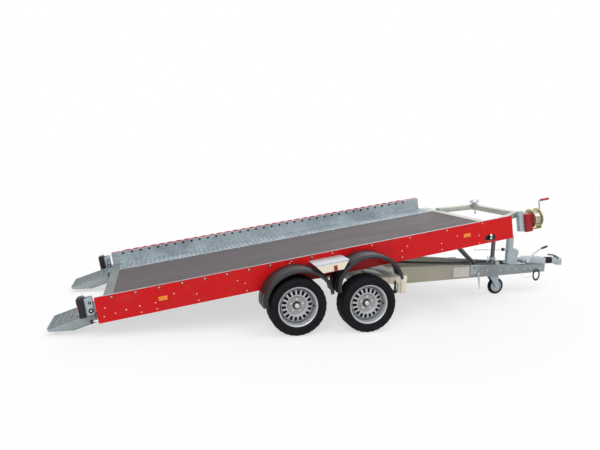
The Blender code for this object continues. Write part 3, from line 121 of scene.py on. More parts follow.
DISC_SHARES = ((0.432, 0.20), (0.452, 0.26), (0.480, 0.35), (0.505, 0.43), (0.530, 0.455),
               (0.552, 0.450), (0.778, 0.370), (0.797, 0.335), (0.815, 0.20), (0.828, 0.02),
               (0.888, -0.08))
SLOT_BAND = (5, 6)
SLOT_PITCH = 5
SLOT_OPEN = 3
CAP_SHARES = ((0.0, 0.60), (0.060, 0.598), (0.100, 0.575), (0.122, 0.52), (0.130, 0.44),
              (0.132, 0.187), (0.0, 0.187))
# The brake drum, and a dark ring from it out to the barrel behind the disc's slots, painted shade
# seen through the slots
DRUM_AND_SHADE_LINER_SHARES = ((0.0, -0.10), (0.105, -0.10), (0.105, -1.07), (0.555, -1.07), (0.578, -0.65),
               (0.555, -0.30), (0.76, -0.12), (0.784, 0.02), (0.784, 0.14), (0.765, 0.20),
               (0.50, 0.20), (0.44, 0.06), (0.20, 0.09), (0.178, 0.10), (0.175, 0.185),
               (0.0, 0.185))
VALVE_SHARES = (((0.80, 0.28), (0.845, 0.72), 0.0045), ((0.842, 0.69), (0.852, 0.80), 0.0055))

# Bolts: radius, foot, top and sides of the washer, head and thread, as shares of the width
BOLT_SHARES = ((0.62, 0.0, 0.10, 12), (1 / math.sqrt(3), 0.10, 0.42, 6), (0.24, 0.42, 0.62, 10))
RIVET_HEAD_SHARES = ((0, 0), (1, 0), (0.93, 0.26), (0.62, 0.46), (0, 0.55))

# Rivets of the rails, as shares along the panel and up it
RIVET_SHARES = ((0.018, 0.55), (0.013, 0.23), (0.036, 0.27), (0.059, 0.32), (0.087, 0.36),
                (0.088, 0.11), (0.120, 0.36), (0.121, 0.11), (0.161, 0.56), (0.208, 0.38),
                (0.210, 0.11), (0.300, 0.57), (0.316, 0.40), (0.317, 0.09), (0.422, 0.84),
                (0.697, 0.42), (0.712, 0.57), (0.696, 0.15), (0.801, 0.40), (0.801, 0.13),
                (0.845, 0.58), (0.905, 0.41), (0.904, 0.08))
REFLECTOR_SHARES = ((0.137, 0.48), (0.871, 0.53))


def screen(red, green, blue):
    """A colour seen on a screen, in eight-bit steps, as the linear colour that gives it."""
    def linear(step):
        value = step / 255
        return value / 12.92 if value <= 0.04045 else ((value + 0.055) / 1.055) ** 2.4
    return tuple(linear(step) for step in (red, green, blue))


def colour(name, about, red, green, blue):
    return FloatVectorProperty(name=name, description=about, subtype="COLOR", size=3,
                               min=0, max=1, default=screen(red, green, blue))


def length(name, about, value):
    return FloatProperty(name=name, description=about, default=value, min=0, unit="LENGTH",
                         subtype="DISTANCE", precision=4)


class TRAILER_PG_colours(bpy.types.PropertyGroup):
    """Colours of the trailer's finishes."""

    red: colour("Rail red", "Paint of the side rails", 194, 9, 15)
    zinc: colour("Zinc", "Galvanised sheet and tube", 168, 179, 185)
    beam: colour("Drawbar zinc", "Weathered zinc of the drawbar", 184, 178, 161)
    floor: colour("Floor film", "Film on the plywood floor", 76, 69, 73)
    plastic: colour("Guard plastic", "Moulded plastic of guards and lamps", 27, 28, 32)
    rubber: colour("Rubber", "Tyres", 17, 18, 22)
    rim: colour("Rim silver", "Paint of the rims", 182, 184, 188)
    winch: colour("Winch red", "Cover of the winch", 150, 20, 30)
    yellow: colour("Yellow zinc", "Passivated zinc of the winch", 176, 164, 82)
    cream: colour("Cream", "Roller and outrigger plates", 219, 212, 193)
    amber: colour("Amber", "Reflectors and turn lamps", 240, 138, 4)
    signal: colour("Signal red", "Tail lamps", 176, 14, 18)


class TRAILER_PG_sizes(bpy.types.PropertyGroup):
    """Sizes of the small parts."""

    rim_radius: length("Rim radius", "Outer edge of the rim's flange", 0.180)
    rim_width: length("Rim width", "Across the rim's flanges", 0.152)
    disc_wall: length("Disc wall", "Sheet of the wheel disc", 0.004)
    groove_depth: length("Groove depth", "Depth of the tyre's tread", 0.007)
    lug_circle: length("Lug circle", "Radius of the circle of wheel bolts", 0.056)
    lugs: IntProperty(name="Wheel bolts", description="Bolts of each wheel", default=5, min=3)
    guard_wall: length("Guard wall", "Thickness of a mudguard", 0.003)
    rail_bolts: IntProperty(name="Rail bolts", description="Bolts along each rail's top edge",
                            default=20, min=2)
    bolt: length("Bolt", "Across the flats of a frame bolt", 0.019)
    rivet: length("Rivet", "Radius of a rail rivet's head", 0.0062)
    tread_pitch: length("Tread pitch", "Between the studs of the wheel tracks", 0.052)
    cable: length("Cable", "Diameter of the winch cable", 0.006)
    grip_columns: IntProperty(name="Grip columns", description="Holes along a ramp", default=7)
    grip_rows: IntProperty(name="Grip rows", description="Holes across a ramp", default=5)


class Socket:
    """One output of a material's nodes; sums and products of it add Math nodes."""

    def __init__(self, finish, link):
        self.finish = finish
        self.link = link

    def maths(self, operation, *values):
        made = self.finish.node("ShaderNodeMath", {"operation": operation},
                                dict(enumerate(values)))
        return Socket(self.finish, made.outputs[0])

    def __add__(self, other):
        return self.maths("ADD", self, other)

    def __radd__(self, other):
        return self.maths("ADD", other, self)

    def __sub__(self, other):
        return self.maths("SUBTRACT", self, other)

    def __rsub__(self, other):
        return self.maths("SUBTRACT", other, self)

    def __mul__(self, other):
        return self.maths("MULTIPLY", self, other)

    def __rmul__(self, other):
        return self.maths("MULTIPLY", other, self)

    def clipped(self, low, high):
        """The value from low to high stretched over 0 to 1 and held there."""
        made = self.finish.node("ShaderNodeMapRange", {"clamp": True},
                                {"Value": self, "From Min": low, "From Max": high})
        return Socket(self.finish, made.outputs[0])


class Finish:
    """A material in the making, with its shader and its pattern's coordinates."""

    def __init__(self, name, base, roughness, metallic=0.0, **fixed):
        self.made = bpy.data.materials.new(name)
        self.made.use_nodes = True
        self.made.diffuse_color = (*base, 1)
        self.tree = self.made.node_tree
        self.shader = self.tree.nodes["Principled BSDF"]
        self.put(Base_Color=(*base, 1), Roughness=roughness, Metallic=metallic, **fixed)

    def put(self, **values):
        """Sets or links sockets of the shader; an underline in a name stands for a space."""
        self.fill(self.shader, {key.replace("_", " "): value for key, value in values.items()})

    def fill(self, node, values):
        for key, value in values.items():
            if isinstance(value, Socket):
                self.tree.links.new(value.link, node.inputs[key])
            else:
                node.inputs[key].default_value = value

    def node(self, kind, settings=None, values=None):
        """A node of one type: its settings come first, then its sockets."""
        made = self.tree.nodes.new(kind)
        for key, value in (settings or {}).items():
            setattr(made, key, value)
        self.fill(made, values or {})
        return made

    def place(self, turned=False, stretch=(1, 1, 1)):
        """Object coordinates, turned level with the tilted platform if asked."""
        found = self.node("ShaderNodeTexCoord").outputs["Object"]
        turn = (0, TILT if turned else 0, 0)
        made = self.node("ShaderNodeMapping", {"vector_type": "POINT"},
                         {"Vector": Socket(self, found), "Rotation": turn})
        scaled = self.node("ShaderNodeMapping", {"vector_type": "POINT"},
                           {"Vector": Socket(self, made.outputs[0]), "Scale": stretch})
        return Socket(self, scaled.outputs[0])

    def noise(self, where, scale, detail=3.0, roughness=0.55):
        made = self.node("ShaderNodeTexNoise", None, {
            "Vector": where, "Scale": scale, "Detail": detail, "Roughness": roughness})
        return Socket(self, made.outputs["Fac"])

    def cells(self, where, scale, output="Distance", feature="F1"):
        made = self.node("ShaderNodeTexVoronoi", {"feature": feature},
                         {"Vector": where, "Scale": scale})
        found = Socket(self, made.outputs[output])
        if output == "Color":
            split = self.node("ShaderNodeSeparateColor", None, {"Color": found})
            return Socket(self, split.outputs[0])
        return found

    def mix(self, share, first, second):
        """A colour between two, by a share from 0 to 1."""
        made = self.node("ShaderNodeMix", {"data_type": "RGBA"}, {0: share})
        for index, value in ((6, first), (7, second)):
            self.fill(made, {index: value if isinstance(value, Socket) else (*value, 1)})
        return Socket(self, made.outputs[2])

    def bump(self, height, strength, distance):
        made = self.node("ShaderNodeBump", None, {
            "Height": height, "Strength": strength, "Distance": distance})
        self.put(Normal=Socket(self, made.outputs[0]))


def shaded(base, by):
    """The colour made darker or lighter by a factor."""
    return tuple(min(1.0, channel * by) for channel in base)


def paint(name, base, turned, coat=0.06, gloss=0.18):
    """Gloss paint with a faint orange peel and dust in patches."""
    made = Finish(name, base, 0.34, Coat_Weight=coat, Coat_Roughness=0.12,
                  Specular_IOR_Level=gloss)
    where = made.place(turned)
    patches = made.noise(where, 1.6, 4)
    grime = made.noise(where, 9, 6).clipped(0.56, 0.78)
    tone = made.mix(patches, shaded(base, 0.90), shaded(base, 1.12))
    made.put(Base_Color=made.mix(grime * 0.06, tone, screen(150, 120, 105)),
             Roughness=0.28 + 0.22 * grime + 0.08 * patches)
    made.bump(made.noise(where, 260, 2), 0.05, 0.0006)


TONE_CHANGE = (1.00, 1.75)


def zinc(name, base, turned, dull=0.0, grain=55, contrast=1.0, front=None):
    """Hot-dip zinc: spangle cells, cloudy white patches, and another tone to the front."""
    made = Finish(name, base, 0.42 + dull, 0.55)
    where = made.place(turned)
    spangle = made.cells(where, grain, "Color")
    fine = made.cells(where, 130, "Color")
    cloud = made.noise(where, 3.2, 5).clipped(0.30, 0.72)
    mottle = (spangle * 0.6 + fine * 0.4) * 0.55 + cloud * 0.45
    tone = made.mix(mottle, shaded(base, 1 - 0.26 * contrast), shaded(base, 1 + 0.22 * contrast))
    if front:
        split = made.node("ShaderNodeSeparateXYZ", None, {"Vector": where})
        ahead = Socket(made, split.outputs[0]).clipped(*TONE_CHANGE)
        cool = made.mix(mottle, shaded(front, 0.82), shaded(front, 1.18))
        tone = made.mix(ahead, tone, cool)
    made.put(Base_Color=tone,
             Roughness=0.34 + dull + 0.20 * spangle + 0.10 * cloud,
             Metallic=0.72 - 0.35 * cloud)
    made.bump(spangle * 0.5 + made.noise(where, 90, 3), 0.06, 0.0008)


def floor_film(name, base):
    """Film-faced plywood: pressed mesh, tyre scuffs along the platform and dust."""
    made = Finish(name, base, 0.55, Specular_IOR_Level=0.22)
    where = made.place(True)
    along = made.place(True, (0.35, 4.0, 1.0))
    mesh = made.cells(where, 210, feature="DISTANCE_TO_EDGE").clipped(0.02, 0.16)
    scuffs = made.noise(along, 2.6, 6).clipped(0.42, 0.75)
    dust = made.noise(where, 1.1, 5).clipped(0.30, 0.75)
    tone = made.mix(scuffs * 0.35, shaded(base, 0.92), shaded(base, 1.16))
    made.put(Base_Color=made.mix(dust * 0.16, tone, screen(160, 150, 148)),
             Roughness=0.50 + 0.22 * dust - 0.10 * scuffs)
    made.bump(mesh, 0.25, 0.0005)


def moulded(name, base, grain=420, roughness=0.42, dusty=0.25, gloss=0.5):
    """Grained plastic or rubber with a veil of dust."""
    made = Finish(name, base, roughness, Specular_IOR_Level=gloss)
    where = made.place()
    dust = made.noise(where, 4.0, 6).clipped(0.45, 0.80)
    made.put(Base_Color=made.mix(dust * dusty, base, screen(96, 92, 88)),
             Roughness=roughness + 0.16 * dust + 0.05 * made.noise(where, 30, 2))
    made.bump(made.noise(where, grain, 3), 0.12, 0.0006)


def metal_paint(name, base, roughness=0.34, metallic=0.45, dusty=0.35, gloss=0.5):
    """Silver or steel finish with fine flake, and brake dust in patches."""
    made = Finish(name, base, roughness, metallic, Specular_IOR_Level=gloss)
    where = made.place()
    flake = made.cells(where, 900, "Color")
    dust = made.noise(where, 14, 5).clipped(0.50, 0.80)
    tone = made.mix(flake, shaded(base, 0.92), shaded(base, 1.10))
    made.put(Base_Color=made.mix(dust * dusty, tone, shaded(base, 0.42)),
             Roughness=roughness + 0.10 * flake + 0.18 * dust)
    made.bump(flake, 0.03, 0.0003)


def passivated(name, base):
    """Yellow passivated zinc with a cloudy green and brown play of colour."""
    made = Finish(name, base, 0.34, 0.6)
    where = made.place()
    cloud = made.noise(where, 22, 4).clipped(0.35, 0.70)
    tone = made.mix(cloud, shaded(base, 0.78), screen(206, 190, 104))
    made.put(Base_Color=made.mix(made.noise(where, 7, 3).clipped(0.5, 0.8) * 0.4, tone,
                                 screen(128, 138, 84)),
             Roughness=0.28 + 0.20 * cloud)
    made.bump(made.noise(where, 180, 2), 0.05, 0.0004)


def lens(name, base, coat=0.8):
    """Lamp glass with small prisms pressed in it."""
    made = Finish(name, base, 0.16, Coat_Weight=coat, Coat_Roughness=0.06, IOR=1.49)
    where = made.place(True)
    prism = made.cells(where, 170)
    made.put(Base_Color=made.mix(prism.clipped(0.1, 0.6), shaded(base, 1.15), shaded(base, 0.72)),
             Roughness=0.12 + 0.10 * prism)
    made.bump(prism, 0.5, 0.0012)


def bright_steel(name, base, turned=False):
    """Zinc-plated fasteners and drawn steel."""
    made = Finish(name, base, 0.30, 0.8)
    where = made.place(turned)
    stain = made.noise(where, 60, 4).clipped(0.45, 0.75)
    made.put(Base_Color=made.mix(stain, base, shaded(base, 0.62)), Roughness=0.24 + 0.25 * stain)
    made.bump(made.noise(where, 400, 2), 0.05, 0.0003)


def make_finishes(tones):
    """Every finish of the trailer, each by its maker, name, colour and settings."""
    rows = (
        (paint, "rail_paint", tones.red, True),
        (paint, "winch_paint", tones.winch, True, 0.3),
        (zinc, "bed_zinc", tones.zinc, True),
        (zinc, "chassis_zinc", tones.zinc, False, 0.04),
        (zinc, "rail_zinc", tones.zinc, True, 0, 60, 1.5),
        (zinc, "track_zinc", tones.zinc, True, 0, 32, 2.0),
        # The ramp's deck and its cheeks are one zinc in a darker and a lighter copy, painted shade
        # and painted light set for how each face is lit
        (zinc, "ramp_zinc", screen(122, 129, 132), True, 0.05, 60, 1.2),
        (zinc, "stud_zinc", screen(128, 142, 150), True, 0, 32, 1.2),
        (zinc, "cheek_zinc", screen(152, 161, 164), True, 0.05),
        (zinc, "hoop_zinc", screen(184, 184, 176), True),
        (zinc, "beam_zinc", tones.beam, False, 0.10, 70, 0.7, screen(138, 146, 150)),
        (zinc, "step_zinc", screen(188, 190, 196), True),
        (floor_film, "floor_film", tones.floor),
        (moulded, "guard_plastic", tones.plastic, 420, 0.36, 0.05, 0.42),
        (moulded, "lamp_plastic", tones.plastic, 420, 0.42, 0.10, 0.3),
        (moulded, "rubber", tones.rubber, 240, 0.62, 0.08, 0.12),
        (moulded, "hose_rubber", screen(24, 24, 26), 300, 0.40, 0.10),
        (moulded, "red_plastic", screen(156, 24, 40), 300, 0.36, 0.10),
        (moulded, "cream_plastic", tones.cream, 200, 0.50, 0.20),
        (paint, "cream_paint", tones.cream, False, 0.2),
        (metal_paint, "rim_paint", tones.rim),
        # The dish's paint is darker than the rim's, with strong dark patches: painted shade for the
        # recessed dish
        (metal_paint, "dish_paint", screen(150, 149, 146), 0.34, 0.5, 0.7),
        # Dark steel of the brake drum, also used as painted shade behind the rim's slots and over
        # the drawbar's hole
        (metal_paint, "drum_steel", screen(30, 29, 30), 0.6, 0.1, 0.3, 0.1),
        (metal_paint, "black_steel", screen(16, 16, 18), 0.32, 0.0, 0.05, 0.22),
        (zinc, "plate_zinc", screen(206, 204, 196), False),
        (bright_steel, "chrome_rod", screen(222, 224, 228)),
        (bright_steel, "plated_steel", screen(205, 208, 212)),
        (bright_steel, "dull_steel", screen(214, 184, 176)),
        (moulded, "strap_paint", screen(146, 44, 38), 300, 0.5, 0.10, 0.2),
        (bright_steel, "cable_steel", screen(196, 196, 190), True),
        (passivated, "yellow_zinc", tones.yellow),
        (lens, "amber_lens", tones.amber, 0.25),
        (lens, "red_lens", tones.signal),
        (lens, "clear_lens", screen(225, 226, 228)),
    )
    for maker, name, base, *settings in rows:
        maker(name, tuple(base), *settings)


def finish(name):
    return bpy.data.materials[name]


def local_box(node, place):
    """Lowest and highest corner of a CAD node, in the frame of what carries it."""
    back = place.inverted()
    corners = [back @ vertex.co for vertex in frame["nodes"][node].data.vertices]
    low = Vector(min(corner[i] for corner in corners) for i in range(3))
    high = Vector(max(corner[i] for corner in corners) for i in range(3))
    return low, high


def reaches(node, place=BED):
    """Distances of a CAD node's inner and outer side from the centre line."""
    low, high = local_box(node, place)
    return sorted((abs(low.y), abs(high.y)))


def joint_at(joint, place):
    """Where a joint is, in the frame of what carries it."""
    return place.inverted() @ Vector(JOINTS[joint]["pos_m"])


def jockey_middle():
    """The jockey tube's axis on the ground, in the chassis's frame."""
    hub = joint_at("jockey_wheel_spin", CHASSIS)
    return Vector((hub.x - JOCKEY_LEAD, hub.y, 0))


def around(middle, half):
    return middle - half, middle + half


def box(shape, x_span, y_span, z_span, round_by=0.0, segments=2):
    """A box between two values on each axis, its edges rounded if asked."""
    verts = bmesh.ops.create_cube(shape, size=1)["verts"]
    spans = [sorted(span) for span in (x_span, y_span, z_span)]
    size = Vector(span[1] - span[0] for span in spans)
    middle = Vector(sum(span) / 2 for span in spans)
    bmesh.ops.scale(shape, vec=size, verts=verts)
    bmesh.ops.translate(shape, vec=middle, verts=verts)
    if round_by:
        edges = list({edge for vert in verts for edge in vert.link_edges})
        bmesh.ops.bevel(shape, geom=edges, offset=round_by, segments=segments, profile=0.5,
                        affect="EDGES", material=-1, clamp_overlap=True)


def facing(at, axis):
    """The place of a part that stands at a point with its own Z along an axis."""
    turn = Vector((0, 0, 1)).rotation_difference(Vector(axis)).to_matrix().to_4x4()
    return Matrix.Translation(at) @ turn


def rod(shape, start, end, radius, segments=16, end_radius=None):
    """A round bar between two points, a cone if the end radius differs."""
    start, end = Vector(start), Vector(end)
    last = radius if end_radius is None else end_radius
    bmesh.ops.create_cone(shape, cap_ends=True, segments=segments, radius1=radius,
                          radius2=last, depth=(end - start).length,
                          matrix=facing((start + end) / 2, end - start))


def turned(shape, profile, segments, place=IDENTITY, closed=False):
    """A line of (radius, place along Z) spun round Z from +X, then placed."""
    points = [shape.verts.new((radius, 0, along)) for radius, along in profile]
    pairs = list(zip(points, points[1:] + (points[:1] if closed else [])))
    pairs = [pair for pair in pairs if pair[0].co.x or pair[1].co.x]
    line = [shape.edges.new(pair) for pair in pairs]
    before = set(shape.verts) - set(points)
    bmesh.ops.spin(shape, geom=points + line, axis=(0, 0, 1), angle=2 * math.pi, steps=segments,
                   use_merge=True)
    made = [vert for vert in shape.verts if vert not in before]
    bmesh.ops.remove_doubles(shape, verts=made, dist=MERGE)
    made = [vert for vert in shape.verts if vert not in before]
    bmesh.ops.transform(shape, matrix=place, verts=made)
    return made


def hex_bolt(shape, at, axis, across):
    """A hexagon head on its washer, with the thread's end in the middle."""
    place = facing(at, axis)
    for radius, low, high, segments in BOLT_SHARES:
        rod(shape, place @ Vector((0, 0, across * low)), place @ Vector((0, 0, across * high)),
            across * radius, segments)


def rivet(shape, at, axis, radius):
    """A low round head."""
    turned(shape, scaled(RIVET_HEAD_SHARES, radius, radius), 12, facing(at, axis))


def tube(shape, route, radius, segments=12):
    """A bent round bar on a smooth curve through its points."""
    curve = bpy.data.curves.new("route", "CURVE")
    curve.dimensions = "3D"
    curve.bevel_depth = radius
    curve.bevel_resolution = max(1, segments // 4 - 1)
    curve.use_fill_caps = True
    curve.resolution_u = TUBE_STEPS
    line = curve.splines.new("NURBS")
    line.points.add(len(route) - 1)
    for point, place in zip(line.points, route):
        point.co = (*place, 1)
    line.use_endpoint_u = True
    line.order_u = min(4, len(route))
    holder = bpy.data.objects.new("route", curve)
    bpy.context.scene.collection.objects.link(holder)
    bpy.context.view_layer.update()
    seen = holder.evaluated_get(bpy.context.evaluated_depsgraph_get())
    mesh = bpy.data.meshes.new_from_object(seen)
    before = set(shape.verts)
    shape.from_mesh(mesh)
    made = [vert for vert in shape.verts if vert not in before]
    bmesh.ops.remove_doubles(shape, verts=made, dist=MERGE)
    bpy.data.objects.remove(holder, do_unlink=True)
    bpy.data.meshes.remove(mesh)
    bpy.data.curves.remove(curve)


def plate(shape, outline, plane, span, round_by=0.0):
    """A flat outline in one plane, as thick as the span across it."""
    axes = {"XZ": (0, 2, 1), "YZ": (1, 2, 0)}[plane]
    verts = []
    for first, second in outline:
        place = [0.0, 0.0, 0.0]
        for axis, value in zip(axes, (first, second, span[0])):
            place[axis] = value
        verts.append(shape.verts.new(place))
    face = shape.faces.new(verts)
    grown = bmesh.ops.extrude_face_region(shape, geom=[face])["geom"]
    shift = Vector((0, 0, 0))
    shift[axes[2]] = span[1] - span[0]
    new = [item for item in grown if isinstance(item, bmesh.types.BMVert)]
    bmesh.ops.translate(shape, vec=shift, verts=new)
    if round_by:
        edges = list({edge for vert in verts + new for edge in vert.link_edges})
        bmesh.ops.bevel(shape, geom=edges, offset=round_by, segments=2, profile=0.5,
                        affect="EDGES", material=-1, clamp_overlap=True)


def keep(name, shape, material, body, place=IDENTITY, replaces=(), slot=None, sharp=35):
    """Stores a shape as a piece of the trailer that rides on a body."""
    bmesh.ops.transform(shape, matrix=place, verts=shape.verts)
    bmesh.ops.recalc_face_normals(shape, faces=shape.faces)
    mesh = bpy.data.meshes.new(name)
    shape.to_mesh(mesh)
    shape.free()
    mesh.materials.append(finish(material))
    mesh.shade_smooth()
    mesh.set_sharp_from_angle(angle=math.radians(sharp))
    made = bpy.data.objects.new(name, mesh)
    bpy.context.scene.collection.objects.link(made)
    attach(made, body)
    if replaces:
        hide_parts(*replaces)
    return made


def on_bed(name, shape, material, *replaced, **more):
    """Stores a piece drawn in the platform's frame, for the nodes it stands for."""
    return keep(name, shape, material, "platform", BED, replaced, **more)


def on_chassis(name, shape, material, *replaced, **more):
    """Stores a piece drawn in the chassis's frame, for the nodes it stands for."""
    return keep(name, shape, material, "chassis", CHASSIS, replaced, **more)


def softened(node, width, material, body):
    """A copy of a CAD node with its edges rounded, which stands for the node."""
    shape = bmesh.new()
    shape.from_mesh(frame["nodes"][node].data)
    bmesh.ops.remove_doubles(shape, verts=shape.verts, dist=MERGE)
    bmesh.ops.dissolve_limit(shape, angle_limit=math.radians(0.5), verts=shape.verts,
                             edges=shape.edges)
    sharp = [edge for edge in shape.edges
             if edge.is_manifold and edge.calc_face_angle(0.0) > math.radians(40)]
    bmesh.ops.bevel(shape, geom=sharp, offset=width, segments=2, profile=0.5,
                    affect="EDGES", material=-1, clamp_overlap=True)
    return keep(f"{node}_skin", shape, material, body, replaces=(node,))


# Finish of every CAD node that stays as it is, and of every one whose edges are rounded
PLAIN_NODES = {
    "rail_paint": ("side_panel_right", "side_panel_left"),
    "rail_zinc": ("side_profile_right", "side_profile_left"),
    "floor_film": ("floor_panel",),
    "track_zinc": ("track_plate_right", "track_plate_left"),
    "bed_zinc": ("cross_member_rear", "cross_member_front", "pivot_cross_member",
                 "lift_cross_member"),
    "ramp_zinc": ("rear_beam",),
    "chassis_zinc": ("axle_rear", "axle_front", "drawbar_crosstie"),
    "black_steel": ("cylinder_barrel",),
    "chrome_rod": ("cylinder_rod",),
    "cream_plastic": ("latch_roller",),
    "plated_steel": ("pivot_shaft", "brake_lever", "latch_pull_rod"),
}
SOFT_NODES = {
    "chassis": {"drawbar_beam_right": (0.0015, "beam_zinc"),
                "drawbar_beam_left": (0.0015, "beam_zinc"),
                "outrigger_right": (0.003, "cream_paint"),
                "outrigger_left": (0.003, "cream_paint"),
                "latch_post": (0.0012, "chassis_zinc"),
                "overrun_housing": (0.008, "chassis_zinc")},
    "platform": {"hoop_arm_right": (0.006, "hoop_zinc"),
                 "hoop_arm_left": (0.006, "hoop_zinc"),
                 "winch_post": (0.005, "bed_zinc")},
}


def dress_nodes():
    for material, nodes in PLAIN_NODES.items():
        for node in nodes:
            mesh = frame["nodes"][node].data
            mesh.materials.clear()
            mesh.materials.append(finish(material))
    for body, nodes in SOFT_NODES.items():
        for node, (width, material) in nodes.items():
            softened(node, width, material, body)


def hub_place(word, side_word):
    """A wheel's own frame: its Z points out of the wheel's outer face."""
    hub = Vector(JOINTS[f"wheel_{word}_{side_word}_spin"]["pos_m"])
    return facing(hub, (0, SIDES[side_word], 0))


def mirrored(half):
    """A profile and its mirror image below, as one line."""
    return half + [(radius, -along) for radius, along in reversed(half)]


def scaled(shares, radius, width):
    """A profile given as shares, in metres."""
    return [(radius * out, width * up) for out, up in shares]


def tyre_profile(sizes, tread_radius, half):
    wall = tread_radius - sizes.rim_radius
    out = [(sizes.rim_radius + wall * up, half * share) for up, share in TYRE_WALL_SHARES]
    floor = tread_radius - sizes.groove_depth
    edge = GROOVE_HALF_SHARE * half
    for groove in reversed(TREAD_GROOVE_SHARES):
        middle = groove * half
        out += [(tread_radius, middle + edge * 1.4), (floor, middle + edge),
                (floor, middle - edge), (tread_radius, middle - edge * 1.4)]
    bead = sizes.rim_width / 2 * BEAD_SHARE
    rim_edge = sizes.rim_radius + MERGE * 8
    return mirrored([(sizes.rim_radius * SEAT_SHARE, bead), (rim_edge, bead),
                     (rim_edge, out[0][1])] + out)


def build_tyre(sizes, name, place, body):
    tread_radius = place.translation.z - MERGE * 4
    box_low, box_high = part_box(name)
    half = (box_high.y - box_low.y) / 2
    shape = bmesh.new()
    verts = turned(shape, tyre_profile(sizes, tread_radius, half), TYRE_SEGMENTS, closed=True)
    step = 2 * math.pi / TYRE_SEGMENTS
    shoulder = half * (TREAD_GROOVE_SHARES[-1] + GROOVE_HALF_SHARE * 1.2)
    rib = half * TREAD_GROOVE_SHARES[-1]
    for vert in verts:
        radius = math.hypot(vert.co.x, vert.co.y)
        turn = round(math.atan2(vert.co.y, vert.co.x) / step)
        depth = sizes.groove_depth
        if abs(vert.co.z) > shoulder and radius > tread_radius - depth * 1.2:
            drop = depth * SHOULDER_SIPE_SHARE if turn % SIPE_EVERY == 0 else 0
        elif abs(vert.co.z) < rib and radius > tread_radius * 0.995:
            drop = depth * RIB_SIPE_SHARE if turn % SIPE_EVERY == SIPE_EVERY // 2 else 0
        else:
            continue
        vert.co.xy *= 1 - drop / radius
    return keep(f"{name}_tread", shape, "rubber", body, place, (name,), sharp=28)


def pressed_sheet(line, wall, inner=0.0, outer=0.0):
    """A turned sheet of a wheel, with slots between two radii if they are given."""
    sheet = bmesh.new()
    turned(sheet, line, RIM_SEGMENTS)
    step = 2 * math.pi / RIM_SEGMENTS
    holes = []
    for face in sheet.faces:
        middle = face.calc_center_median()
        turn = int((math.atan2(middle.y, middle.x) % (2 * math.pi)) / step)
        if inner < math.hypot(middle.x, middle.y) < outer and turn % SLOT_PITCH < SLOT_OPEN:
            holes.append(face)
    bmesh.ops.delete(sheet, geom=holes, context="FACES")
    bmesh.ops.recalc_face_normals(sheet, faces=sheet.faces)
    if sum(face.normal.z for face in sheet.faces) < 0:
        bmesh.ops.reverse_faces(sheet, faces=sheet.faces)
    bmesh.ops.solidify(sheet, geom=sheet.faces[:], thickness=wall)
    return sheet


def build_rim(sizes, name, place, body):
    radius, lip = sizes.rim_radius, sizes.rim_width / 2
    shape = bmesh.new()
    turned(shape, scaled(RIM_LIP_SHARES, radius, lip), RIM_SEGMENTS, closed=True)
    keep(f"{name}_flanges", shape, "rim_paint", body, place, sharp=30)
    line = scaled(DISC_SHARES, radius, lip)
    inner, outer = (line[index][0] for index in SLOT_BAND)
    disc = pressed_sheet(line, sizes.disc_wall, inner, outer)
    keep(f"{name}_face", disc, "rim_paint", body, place, (name,), sharp=30)
    # The recessed dish in a darker paint than the rim, painted shade
    dish = pressed_sheet(scaled(DISH_SHARES, radius, lip), sizes.disc_wall)
    keep(f"{name}_dish", dish, "dish_paint", body, place, sharp=30)

    # The brake drum, with its dark ring out to the barrel behind the slots, painted shade seen
    # through them
    shape = bmesh.new()
    turned(shape, scaled(DRUM_AND_SHADE_LINER_SHARES, radius, lip), 60)
    keep(f"{name}_drum", shape, "drum_steel", body, place)

    shape = bmesh.new()
    turned(shape, scaled(CAP_SHARES, radius, lip), 40)
    seat = lip * DISH_SHARES[2][1]
    for number in range(sizes.lugs):
        angle = 2 * math.pi * (number + 0.25) / sizes.lugs
        at = (sizes.lug_circle * math.cos(angle), sizes.lug_circle * math.sin(angle), seat)
        hex_bolt(shape, at, (0, 0, 1), sizes.bolt)
    keep(f"{name}_bolts", shape, "plated_steel", body, place, slot="rim_silver")

    shape = bmesh.new()
    for start, end, thick in VALVE_SHARES:
        rod(shape, (radius * start[0], 0, lip * start[1]), (radius * end[0], 0, lip * end[1]),
            thick, 12)
    keep(f"{name}_valve", shape, "hose_rubber", body, place)


class TRAILER_OT_finishes(bpy.types.Operator):
    """Makes the finishes and puts them on the frame's own pieces"""

    bl_idname = "trailer.finishes"
    bl_label = "Finishes"

    def execute(self, context):
        make_finishes(context.scene.trailer_colours)
        dress_nodes()
        return {"FINISHED"}


class TRAILER_OT_wheels(bpy.types.Operator):
    """Makes the tyres with their tread, and the slotted rims with hub, bolts and valve"""

    bl_idname = "trailer.wheels"
    bl_label = "Wheels"

    def execute(self, context):
        sizes = context.scene.trailer_sizes
        for word in AXLES:
            for side_word in SIDES:
                place = hub_place(word, side_word)
                body = f"wheel_{word}_{side_word}"
                build_tyre(sizes, f"tyre_{word}_{side_word}", place, body)
                build_rim(sizes, f"rim_{word}_{side_word}", place, body)
        return {"FINISHED"}


# Mudguards, their section as shares of the radius and out across the wheel
GUARD_SHARES = ((1.0, 0.0), (1.0, 0.40), (1.0, 0.56), (0.984, 0.60), (0.984, 0.65), (1.0, 0.69),
                (0.998, 0.80), (0.988, 0.90), (0.966, 0.965), (0.935, 1.0), (0.885, 1.0),
                (0.872, 0.985), (0.876, 0.965))
GUARD_STEPS = 44
GUARD_SOLID_DIP = math.radians(6)
GUARD_DIP = math.radians(1)
CLIP_ANGLES = (35, 90, 145)
CLIP_SHARE = 0.93
CLIP_HALF_LENGTH = 0.022
CLIP_HALF_HEIGHT = 0.016
CLIP_WALL = 0.003
CLIP_BOLT = 0.013


